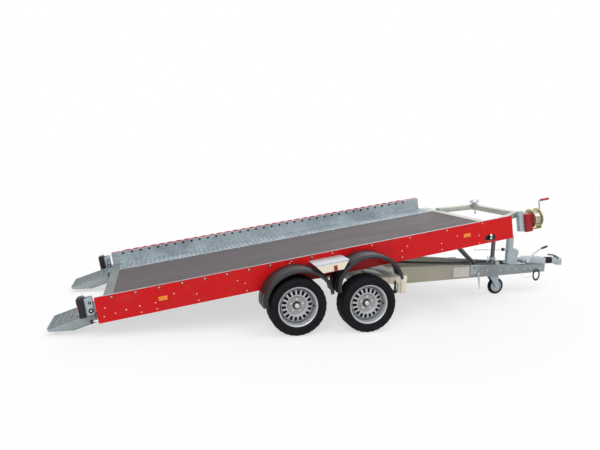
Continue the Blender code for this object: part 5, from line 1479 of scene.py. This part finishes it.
class TRAILER_OT_steps(bpy.types.Operator):
    """Makes the step plates between the mudguards, with studs and strap"""

    bl_idname = "trailer.steps"
    bl_label = "Step plates"

    def execute(self, context):
        for side_word, side in SIDES.items():
            node = f"step_plate_{side_word}"
            low, high = local_box(node, BED)
            near, far = reaches(node)
            sheet = softened(node, 0.0025, "step_zinc", "platform")
            for vertex in sheet.data.vertices:
                vertex.co.y = side * min(abs(vertex.co.y), far - STEP_FACE)
            shape = bmesh.new()
            for column in range(STEP_COLUMNS):
                for row in range(STEP_ROWS):
                    x = low.x + (high.x - low.x) * (column + 0.5) / STEP_COLUMNS
                    y = side * (near + (far - near) * (row + 0.5) / STEP_ROWS)
                    stud(shape, (x, y, high.z), STEP_LEAN if (row + column) % 2 else -STEP_LEAN,
                         STEP_STUD, 0.5)
            on_bed(f"{node}_studs", shape, "step_zinc")
            self.build_front(node, side, low, high, side * far)
        return {"FINISHED"}

    def build_front(self, node, side, low, high, face):
        """The pale outer face of a step plate, and the strap across it."""
        back = BED.inverted()
        points = [back @ vertex.co for vertex in frame["nodes"][node].data.vertices]
        foot = max(point.x for point in points if point.z < low.z + MERGE * 10)
        inside = face - side * (STEP_FACE - MERGE)
        tall = high.z - low.z
        corner = high.x - STEP_TRIM_SHARE * (high.x - foot)
        rise = high.z - STEP_TRIM_SHARE * tall
        shape = bmesh.new()
        plate(shape, [(-foot, low.z), (foot, low.z), (corner, rise), (-corner, rise)], "XZ",
              sorted((inside, inside + side * STEP_SHEET)))
        on_bed(f"{node}_front", shape, "cream_paint")
        across = around(STRAP_LEAD, STRAP_WIDTH / 2)
        shape = bmesh.new()
        box(shape, across, (inside + side * STEP_SHEET, face),
            (low.z, low.z + tall * STRAP_RISE_SHARE), 0.0002)
        box(shape, across, (face - side * 0.060, face - side * 0.001),
            (low.z - 0.003, low.z - 0.0004), HAIR)
        on_bed(f"{node}_strap", shape, "strap_paint")


BEAM_WIDTH = 0.0445
BEAM_BOLTS = ((2.205, 0.318), (2.400, 0.310), (2.500, 0.312), (2.627, 0.310), (2.760, 0.308),
              (2.862, 0.308), (3.020, 0.304), (0.900, 0.395))
BEAM_PLATES = (("plate_zinc", 1.722, 1.945, 0.258, 0.372),
               ("rail_zinc", 1.960, 2.055, 0.276, 0.386))
BEAM_PLATE_WALL = 0.004
BEAM_HOLE = (2.020, 0.356)
SHELF_LEAD = 0.130
SHELF_WIDTH = 0.400
SHELF_INSET = 0.015
SHELF_TOP = 0.445
SHELF_TALL = 0.055
OUTRIGGER_KNOB_LINE = ((0, 0), (0.014, 0.002), (0.021, 0.012), (0.021, 0.026), (0.012, 0.036),
                       (0.009, 0.120), (0, 0.120))
PROP_STATION = 2.075
HOSE_ROUTES = (
    ((2.90, 0.05, 0.36), (2.70, 0.06, 0.352), (2.45, 0.02, 0.345), (2.30, -0.03, 0.352),
     (2.05, -0.06, 0.336), (1.80, -0.12, 0.330), (1.40, -0.22, 0.330), (1.00, -0.30, 0.335)),
    ((2.90, 0.03, 0.355), (2.65, 0.035, 0.362), (2.42, 0.06, 0.372), (2.20, 0.075, 0.358),
     (1.95, 0.10, 0.345), (1.60, 0.17, 0.340), (1.20, 0.26, 0.340)),
)
HOSE_RADIUS = 0.012
CABLE_ROUTE = ((2.700, -0.150, 0.262), (2.715, -0.150, 0.225), (2.790, -0.135, 0.196),
               (2.870, -0.120, 0.196), (2.930, -0.105, 0.232), (2.950, -0.100, 0.262))
CABLE_RADIUS = 0.0022
LOOP_SIZE = 0.042
LOOP_RADIUS = 0.0085
LOOP_STRETCH = 1.45
LOOP_PLACE = Vector((2.964, -0.105, 0.222))

# Jockey wheel: heights of its tube and clamp, and half lines of its tyre and rim
JOCKEY_LEAD = 0.070
TUBE_BOTTOM = 0.405
TUBE_TOP = 0.640
CLAMP_LOW = 0.412
CLAMP_TOP = 0.450
CLAMP_PLATE_TOP = 0.420
CLAMP_PLATE_LOW = 0.380
CLAMP_RADIUS = 0.036
CLAMP_BORE = 0.0243
CLAMP_HALF_WIDTH = 0.025
CLAMP_PLATE_WALL = 0.006
HANDLE_HALF_BAR = 0.039
HANDLE_HEIGHT = 0.431
FORK_TOP = 0.222
FORK_WALL = 0.005
JOCKEY_HALF_WIDTH = 0.0225
JOCKEY_TYRE_SHARES = ((0.700, 0.93), (0.74, 0.96), (0.86, 0.94), (0.95, 0.80), (0.99, 0.55),
                      (1.0, 0.25))
JOCKEY_RIM_SHARES = ((0.108, 1.0), (0.26, 1.0), (0.30, 0.55), (0.60, 0.50), (0.655, 0.92),
                     (0.698, 0.92))

# Coupling: folds of its bellows, and the ball's place behind the head's front end
FOLDS = 7
FOLD_STEPS = 6
FOLD_DEPTH = 0.010
BELLOWS_SHARE = 0.985
BALL_BACK = 0.046
HANDLE_ROUTE = ((0.030, 0.010), (0.060, 0.026), (0.110, 0.032), (0.150, 0.034))
HANDLE_RADIUS = 0.010
HEAD_BOLTS = (0.022, 0.058)
HOUSING_BOLT_SHARES = (0.22, 0.50, 0.78)
HOUSING_RIVET_SHARES = (0.35, 0.65)
LEVER_GRIP_LINE = ((0, -0.004), (0.0098, -0.003), (0.0098, 0.0), (0.0125, 0.002),
                   (0.0135, 0.05), (0.0135, 0.085), (0.0125, 0.088), (0, 0.088))


def beam_face(station):
    """Distance of a drawbar beam's outer face from the centre line, from the beam's box."""
    low, high = local_box("drawbar_beam_left", CHASSIS)
    share = (station - low.x) / (high.x - low.x)
    return high.y + (low.y + BEAM_WIDTH - high.y) * share


class TRAILER_OT_drawbar(bpy.types.Operator):
    """Puts the plates, bolts, hoses, jockey fittings and coupling parts on the drawbar"""

    bl_idname = "trailer.drawbar"
    bl_label = "Drawbar"

    def execute(self, context):
        sizes = context.scene.trailer_sizes
        for side_word, side in SIDES.items():
            self.build_beam(sizes, side_word, side)
            self.build_outrigger(side_word, side)
        self.build_prop()
        self.build_cords()
        self.build_latch_stop()
        self.build_jockey_tube()
        self.build_jockey_clamp()
        self.build_jockey_fork()
        self.build_jockey_wheel()
        self.build_bellows()
        self.build_head()
        self.build_overrun()
        return {"FINISHED"}

    def build_beam(self, sizes, side_word, side):
        """Bolts, two plates, and a dark disc of painted shade over a hole, on a beam's outer face.
        """
        def at(station, height, out=0.0):
            return Vector((station, side * (beam_face(station) + out), height))

        outward = Vector((beam_face(1.0) - beam_face(2.0), side, 0)).normalized()
        shape = bmesh.new()
        for station, height in BEAM_BOLTS:
            hex_bolt(shape, at(station, height), outward, sizes.bolt)
        on_chassis(f"beam_bolts_{side_word}", shape, "plated_steel")
        for material, start, end, low, high in BEAM_PLATES:
            shape = bmesh.new()
            corners = ((start, low), (end, low), (end, high), (start, high))
            verts = [shape.verts.new(at(*corner, 0.0004)) for corner in corners]
            grown = bmesh.ops.extrude_face_region(shape, geom=[shape.faces.new(verts)])["geom"]
            new = [item for item in grown if isinstance(item, bmesh.types.BMVert)]
            bmesh.ops.translate(shape, vec=outward * BEAM_PLATE_WALL, verts=new)
            on_chassis(f"beam_{material}_{side_word}", shape, material)
        # A thin dark disc over the hole, painted shade
        shape = bmesh.new()
        hole = at(*BEAM_HOLE, BEAM_PLATE_WALL)
        rod(shape, hole, hole + outward * 0.001, 0.011, 20)
        on_chassis(f"beam_hole_painted_shade_{side_word}", shape, "drum_steel")

    def build_outrigger(self, side_word, side):
        """The shelf behind an outrigger, and the rubber knob under it."""
        node = f"outrigger_{side_word}"
        start = local_box(node, CHASSIS)[0].x
        reach = reaches(node, CHASSIS)[1]
        shape = bmesh.new()
        box(shape, (start - SHELF_LEAD, start - HAIR),
            (side * (reach - SHELF_WIDTH), side * (reach - SHELF_INSET)),
            (SHELF_TOP - SHELF_TALL, SHELF_TOP), 0.003)
        on_chassis(f"outrigger_shelf_{side_word}", shape, "cream_paint")
        shape = bmesh.new()
        knob = (start + 0.060, side * (reach + 0.004), SHELF_TOP - 0.150)
        turned(shape, OUTRIGGER_KNOB_LINE, 24, Matrix.Translation(knob))
        on_chassis(f"outrigger_knob_{side_word}", shape, "hose_rubber")

    def build_prop(self):
        """The pointed pin that hangs on the right beam."""
        foot = Vector((PROP_STATION, -beam_face(PROP_STATION) - 0.008, 0.290))
        tip = foot + Vector((0.030, 0, -0.185))
        shape = bmesh.new()
        rod(shape, tip, foot, 0.004, 4, 0.017)
        rod(shape, foot + Vector((0, 0.012, 0)), foot + Vector((0, -0.010, 0)), 0.012, 20)
        on_chassis("prop_pin", shape, "plated_steel")

    def build_cords(self):
        """The two hoses along the drawbar, the rubber loop at its front, and the cable."""
        shape = bmesh.new()
        for route in HOSE_ROUTES:
            tube(shape, route, HOSE_RADIUS)
        on_chassis("drawbar_hoses", shape, "hose_rubber")

        upright = Matrix.Rotation(math.pi / 2, 3, "X")
        shape = bmesh.new()
        bmesh.ops.create_circle(shape, cap_ends=False, segments=12, radius=LOOP_RADIUS)
        bmesh.ops.translate(shape, vec=(LOOP_SIZE, 0, 0), verts=shape.verts)
        bmesh.ops.rotate(shape, verts=shape.verts, matrix=upright)
        bmesh.ops.spin(shape, geom=shape.verts[:] + shape.edges[:], axis=(0, 0, 1), steps=40,
                       angle=2 * math.pi, use_merge=True)
        bmesh.ops.remove_doubles(shape, verts=shape.verts, dist=MERGE)
        bmesh.ops.rotate(shape, verts=shape.verts, matrix=upright)
        bmesh.ops.scale(shape, vec=(1, 1, LOOP_STRETCH), verts=shape.verts)
        bmesh.ops.translate(shape, vec=LOOP_PLACE, verts=shape.verts)
        on_chassis("drawbar_loop", shape, "hose_rubber")

        shape = bmesh.new()
        tube(shape, CABLE_ROUTE, CABLE_RADIUS, 8)
        on_chassis("breakaway_cable", shape, "cable_steel")

    def build_latch_stop(self):
        """The dark stop on the latch's pull rod, behind its post."""
        post = local_box("latch_post", CHASSIS)[0].x
        low, high = local_box("latch_pull_rod", CHASSIS)
        middle = (low + high) / 2
        shape = bmesh.new()
        box(shape, (post - 0.034, post - 0.003), around(middle.y, 0.013),
            around(middle.z, 0.018), 0.004)
        on_chassis("latch_rod_stop", shape, "hose_rubber")

    def build_jockey_tube(self):
        """The jockey wheel's outer tube with its cap, and the crank on top."""
        low, high = local_box("jockey_tube", CHASSIS)
        middle = jockey_middle()
        shape = bmesh.new()
        turned(shape, ((0.0190, TUBE_BOTTOM), (0.0240, TUBE_BOTTOM), (0.0240, TUBE_TOP),
                       (0.0262, TUBE_TOP), (0.0262, TUBE_TOP + 0.012), (0.020, TUBE_TOP + 0.022),
                       (0.009, TUBE_TOP + 0.024), (0.009, high.z - 0.012), (0, high.z - 0.012),
                       (0, TUBE_TOP - 0.004), (0.0190, TUBE_TOP - 0.004)), 40,
               Matrix.Translation(middle))
        crank = high.z - 0.0127
        rod(shape, (middle.x + 0.020, middle.y, crank), (low.x + 0.004, middle.y, crank), 0.0085,
            20)
        on_chassis("jockey_tube_skin", shape, "black_steel", "jockey_tube")
        shape = bmesh.new()
        rod(shape, (low.x + 0.014, middle.y, crank - 0.006),
            (low.x + 0.014, middle.y, crank + 0.010), 0.012, 20)
        on_chassis("jockey_crank_grip", shape, "hose_rubber")

    def build_jockey_clamp(self):
        """The ring and plates that hold the tube on the right beam, and their handle."""
        middle = jockey_middle()
        outer = -beam_face(middle.x)
        across = around(middle.x, CLAMP_HALF_WIDTH)
        shape = bmesh.new()
        ring = ((CLAMP_BORE, CLAMP_LOW), (CLAMP_RADIUS, CLAMP_LOW), (CLAMP_RADIUS, CLAMP_TOP),
                (CLAMP_BORE, CLAMP_TOP))
        turned(shape, ring, 36, Matrix.Translation(middle), closed=True)
        box(shape, across, (outer, middle.y - 0.030), (CLAMP_LOW, CLAMP_PLATE_TOP), 0.001)
        box(shape, across, (outer, outer + CLAMP_PLATE_WALL), (CLAMP_PLATE_LOW, CLAMP_PLATE_TOP),
            0.001)
        on_chassis("jockey_clamp", shape, "chassis_zinc")
        elbow = middle + Vector((-0.085, -0.036, HANDLE_HEIGHT))
        shape = bmesh.new()
        rod(shape, middle + Vector((-0.030, -0.030, HANDLE_HEIGHT)), elbow, 0.005)
        half_bar = Vector((0, 0, HANDLE_HALF_BAR))
        rod(shape, elbow + half_bar, elbow - half_bar, 0.0045)
        on_chassis("jockey_clamp_handle", shape, "plated_steel")

    def build_jockey_fork(self):
        """The inner tube with its fork, and the wheel's axle."""
        low, high = local_box("jockey_inner", CHASSIS)
        hub = joint_at("jockey_wheel_spin", CHASSIS)
        foot = jockey_middle() + Vector((0, 0, FORK_TOP))
        half = (high.y - low.y) / 2
        shape = bmesh.new()
        rod(shape, foot, (foot.x, foot.y, high.z), 0.0178, 36)
        box(shape, (low.x, hub.x + 0.012), around(hub.y, half), (0.219, 0.2248), 0.001)
        blade = [(low.x, FORK_TOP), (hub.x - 0.014, hub.z - 0.006), (hub.x - 0.008, hub.z - 0.0128),
                 (hub.x + 0.008, hub.z - 0.0128), (hub.x + 0.014, hub.z - 0.006),
                 (hub.x + 0.014, FORK_TOP)]
        for end in (-1, 1):
            face = hub.y + end * half
            plate(shape, blade, "XZ", sorted((face, face - end * FORK_WALL)), 0.0008)
        keep("jockey_fork", shape, "chassis_zinc", "jockey_inner", CHASSIS, ("jockey_inner",))
        shape = bmesh.new()
        for end in (-1, 1):
            rod(shape, hub + Vector((0, end * (half - 0.0002), 0)),
                hub + Vector((0, end * (half - FORK_WALL - 0.0002), 0)), 0.0098, 20)
        reach = Vector((0, half - FORK_WALL, 0))
        rod(shape, hub - reach, hub + reach, 0.0096, 20)
        keep("jockey_axle", shape, "plated_steel", "jockey_inner", CHASSIS)

    def build_jockey_wheel(self):
        hub = joint_at("jockey_wheel_spin", CHASSIS)
        parts = (("jockey_tyre", JOCKEY_TYRE_SHARES, "rubber", ("jockey_wheel",)),
                 ("jockey_rim", JOCKEY_RIM_SHARES, "chassis_zinc", ()))
        for name, shares, material, replaced in parts:
            shape = bmesh.new()
            line = mirrored(scaled(shares, hub.z - MERGE * 4, JOCKEY_HALF_WIDTH))
            turned(shape, line, 72, facing(hub, (0, 1, 0)), closed=True)
            keep(name, shape, material, "jockey_wheel", CHASSIS, replaced)

    def build_bellows(self):
        """The rubber bellows behind the coupling head."""
        low, high = local_box("coupling_bellows", CHASSIS)
        step = (high.x - low.x) / FOLDS
        radius = (high.z - low.z) / 2 * BELLOWS_SHARE
        profile = [(0, 0)]
        for fold in range(FOLDS):
            for number in range(FOLD_STEPS):
                share = (number + 0.5) / FOLD_STEPS
                dip = (0.5 + 0.5 * math.cos(2 * math.pi * share)) ** 1.4
                profile.append((radius - FOLD_DEPTH * dip, step * (fold + share)))
        profile.append((0, high.x - low.x))
        shape = bmesh.new()
        turned(shape, profile, 48, facing((low.x, 0, (low.z + high.z) / 2), (1, 0, 0)))
        on_chassis("coupling_bellows_folds", shape, "hose_rubber", "coupling_bellows")

    def build_head(self):
        """The coupling head with its handle and side bolts."""
        softened("coupling_head", 0.003, "chassis_zinc", "chassis")
        low, high = local_box("coupling_head", CHASSIS)
        ball = high.x - BALL_BACK
        top = high.z - 0.0065
        shape = bmesh.new()
        for side in SIDES.values():
            plate(shape, [(ball - 0.030, top - 0.030), (ball - 0.010, top - 0.030),
                          (ball - 0.020, high.z + 0.014), (ball - 0.040, high.z + 0.014)], "XZ",
                  sorted((side * 0.030, side * 0.034)), 0.0008)
        route = [(ball - back, 0, high.z + up) for back, up in HANDLE_ROUTE]
        tube(shape, route, HANDLE_RADIUS, 16)
        rod(shape, (ball - 0.030, -0.036, high.z + 0.006), (ball - 0.030, 0.036, high.z + 0.006),
            0.006)
        on_chassis("coupling_handle", shape, "black_steel")
        bellows_low, bellows_high = local_box("coupling_bellows", CHASSIS)
        middle = (bellows_low.z + bellows_high.z) / 2
        shape = bmesh.new()
        for back in HEAD_BOLTS:
            for side in SIDES.values():
                hex_bolt(shape, (low.x + back, side * 0.030, middle), (0, side, 0), 0.017)
        on_chassis("coupling_bolts", shape, "plated_steel")

    def build_overrun(self):
        """Bolts of the overrun housing, and the brake lever's grip."""
        low, high = local_box("overrun_housing", CHASSIS)
        long = high.x - low.x
        z = low.z + (high.z - low.z) * 0.55
        shape = bmesh.new()
        for side in SIDES.values():
            for share in HOUSING_BOLT_SHARES:
                hex_bolt(shape, (low.x + long * share, side * high.y, z), (0, side, 0), 0.013)
        for share in HOUSING_RIVET_SHARES:
            rivet(shape, (low.x + long * share, 0, high.z - HAIR), (0, 0, 1), 0.008)
        on_chassis("overrun_bolts", shape, "plated_steel")
        low, high = local_box("brake_lever", CHASSIS)
        start = (high.x - 0.088, (low.y + high.y) / 2, high.z - 0.041)
        shape = bmesh.new()
        turned(shape, LEVER_GRIP_LINE, 28, facing(start, (1, 0, 0.33)))
        on_chassis("brake_lever_grip", shape, "hose_rubber")


def look_through(tree, plain, bright):
    """Shows the bright shader to the camera, and in gloss and glass, and the plain one else."""
    rays = tree.nodes.new("ShaderNodeLightPath")
    total = None
    for name in ("Is Camera Ray", "Is Glossy Ray", "Is Transmission Ray"):
        if total is None:
            total = rays.outputs[name]
            continue
        larger = tree.nodes.new("ShaderNodeMath")
        larger.operation = "MAXIMUM"
        tree.links.new(total, larger.inputs[0])
        tree.links.new(rays.outputs[name], larger.inputs[1])
        total = larger.outputs[0]
    mixed = tree.nodes.new("ShaderNodeMixShader")
    tree.links.new(total, mixed.inputs[0])
    tree.links.new(plain.outputs[0], mixed.inputs[1])
    tree.links.new(bright.outputs[0], mixed.inputs[2])
    return mixed


class TRAILER_OT_stage(bpy.types.Operator):
    """Makes the pale floor, the soft lights and the camera"""

    bl_idname = "trailer.stage"
    bl_label = "Stage"

    def execute(self, context):
        scene = context.scene
        scene.view_settings.view_transform = "Standard"
        self.make_floor(scene)
        self.make_lights(scene)
        self.make_camera(scene)
        return {"FINISHED"}

    def make_floor(self, scene):
        shape = bmesh.new()
        bmesh.ops.create_grid(shape, x_segments=1, y_segments=1, size=FLOOR_REACH)
        mesh = bpy.data.meshes.new("stage_floor")
        shape.to_mesh(mesh)
        shape.free()
        made = bpy.data.objects.new("stage_floor", mesh)
        scene.collection.objects.link(made)
        material = bpy.data.materials.new("stage_floor")
        material.use_nodes = True
        tree = material.node_tree
        tree.nodes.clear()
        matt = tree.nodes.new("ShaderNodeBsdfDiffuse")
        matt.inputs["Color"].default_value = (0.90, 0.90, 0.90, 1)
        glow = tree.nodes.new("ShaderNodeEmission")
        glow.inputs["Color"].default_value = (1, 1, 1, 1)
        part = tree.nodes.new("ShaderNodeMixShader")
        part.inputs[0].default_value = FLOOR_GLOW
        tree.links.new(matt.outputs[0], part.inputs[1])
        tree.links.new(glow.outputs[0], part.inputs[2])
        mixed = look_through(tree, matt, part)
        output = tree.nodes.new("ShaderNodeOutputMaterial")
        tree.links.new(mixed.outputs[0], output.inputs["Surface"])
        mesh.materials.append(material)

    def make_lights(self, scene):
        lights = (("key_light", KEY_TURN, KEY_POWER), ("top_light", TOP_TURN, TOP_POWER),
                  ("fill_light", FILL_TURN, FILL_POWER))
        for name, turn, power in lights:
            lamp = bpy.data.lights.new(name, "SUN")
            lamp.energy = power
            lamp.angle = SOFTNESS
            made = bpy.data.objects.new(name, lamp)
            made.rotation_euler = turn
            scene.collection.objects.link(made)
        world = bpy.data.worlds.new("stage_sky")
        world.use_nodes = True
        scene.world = world
        tree = world.node_tree
        tree.nodes.clear()
        plain = tree.nodes.new("ShaderNodeBackground")
        plain.inputs["Color"].default_value = (1, 1, 1, 1)
        plain.inputs["Strength"].default_value = SKY_POWER
        bright = tree.nodes.new("ShaderNodeBackground")
        bright.inputs["Color"].default_value = (1, 1, 1, 1)
        bright.inputs["Strength"].default_value = 1.0
        output = tree.nodes.new("ShaderNodeOutputWorld")
        mixed = look_through(tree, plain, bright)
        tree.links.new(mixed.outputs[0], output.inputs["Surface"])

    def make_camera(self, scene):
        data = bpy.data.cameras.new("photo_camera")
        data.lens = CAMERA_LENS
        data.sensor_width = SENSOR_WIDTH
        made = bpy.data.objects.new("photo_camera", data)
        level = math.cos(CAMERA_PITCH)
        ahead = Vector((math.sin(CAMERA_YAW) * level, math.cos(CAMERA_YAW) * level,
                        -math.sin(CAMERA_PITCH)))
        right = Vector((math.cos(CAMERA_YAW), -math.sin(CAMERA_YAW), 0))
        up = right.cross(ahead)
        turn_cos, turn_sin = math.cos(CAMERA_ROLL), math.sin(CAMERA_ROLL)
        across = right * turn_cos + up * turn_sin
        above = up * turn_cos - right * turn_sin
        turn = Matrix((across, above, -ahead)).transposed()
        made.matrix_world = Matrix.Translation(CAMERA_PLACE) @ turn.to_4x4()
        scene.collection.objects.link(made)
        scene.camera = made


OPERATORS = (
    TRAILER_OT_finishes, TRAILER_OT_wheels, TRAILER_OT_guards, TRAILER_OT_rails,
    TRAILER_OT_floor, TRAILER_OT_ramps, TRAILER_OT_lamps, TRAILER_OT_winch, TRAILER_OT_hoop,
    TRAILER_OT_steps, TRAILER_OT_drawbar, TRAILER_OT_stage,
)


class TRAILER_PT_panel(bpy.types.Panel):
    """Lists the trailer's parts, sizes and colours."""

    bl_idname = "TRAILER_PT_panel"
    bl_label = "Tilt car trailer"
    bl_space_type = "VIEW_3D"
    bl_region_type = "UI"
    bl_category = "Trailer"

    def draw(self, context):
        column = self.layout.column()
        for group in (context.scene.trailer_colours, context.scene.trailer_sizes):
            for name in group.__annotations__:
                column.prop(group, name)
        for operator in OPERATORS:
            column.operator(operator.bl_idname)


CLASSES = (TRAILER_PG_colours, TRAILER_PG_sizes, *OPERATORS, TRAILER_PT_panel)


def register():
    for item in CLASSES:
        bpy.utils.register_class(item)
    bpy.types.Scene.trailer_colours = PointerProperty(type=TRAILER_PG_colours)
    bpy.types.Scene.trailer_sizes = PointerProperty(type=TRAILER_PG_sizes)


def unregister():
    del bpy.types.Scene.trailer_sizes
    del bpy.types.Scene.trailer_colours
    for item in reversed(CLASSES):
        bpy.utils.unregister_class(item)


def main():
    register()
    for operator in OPERATORS:
        group, name = operator.bl_idname.split(".")
        getattr(getattr(bpy.ops, group), name)()


if __name__ == "__main__":
    main()
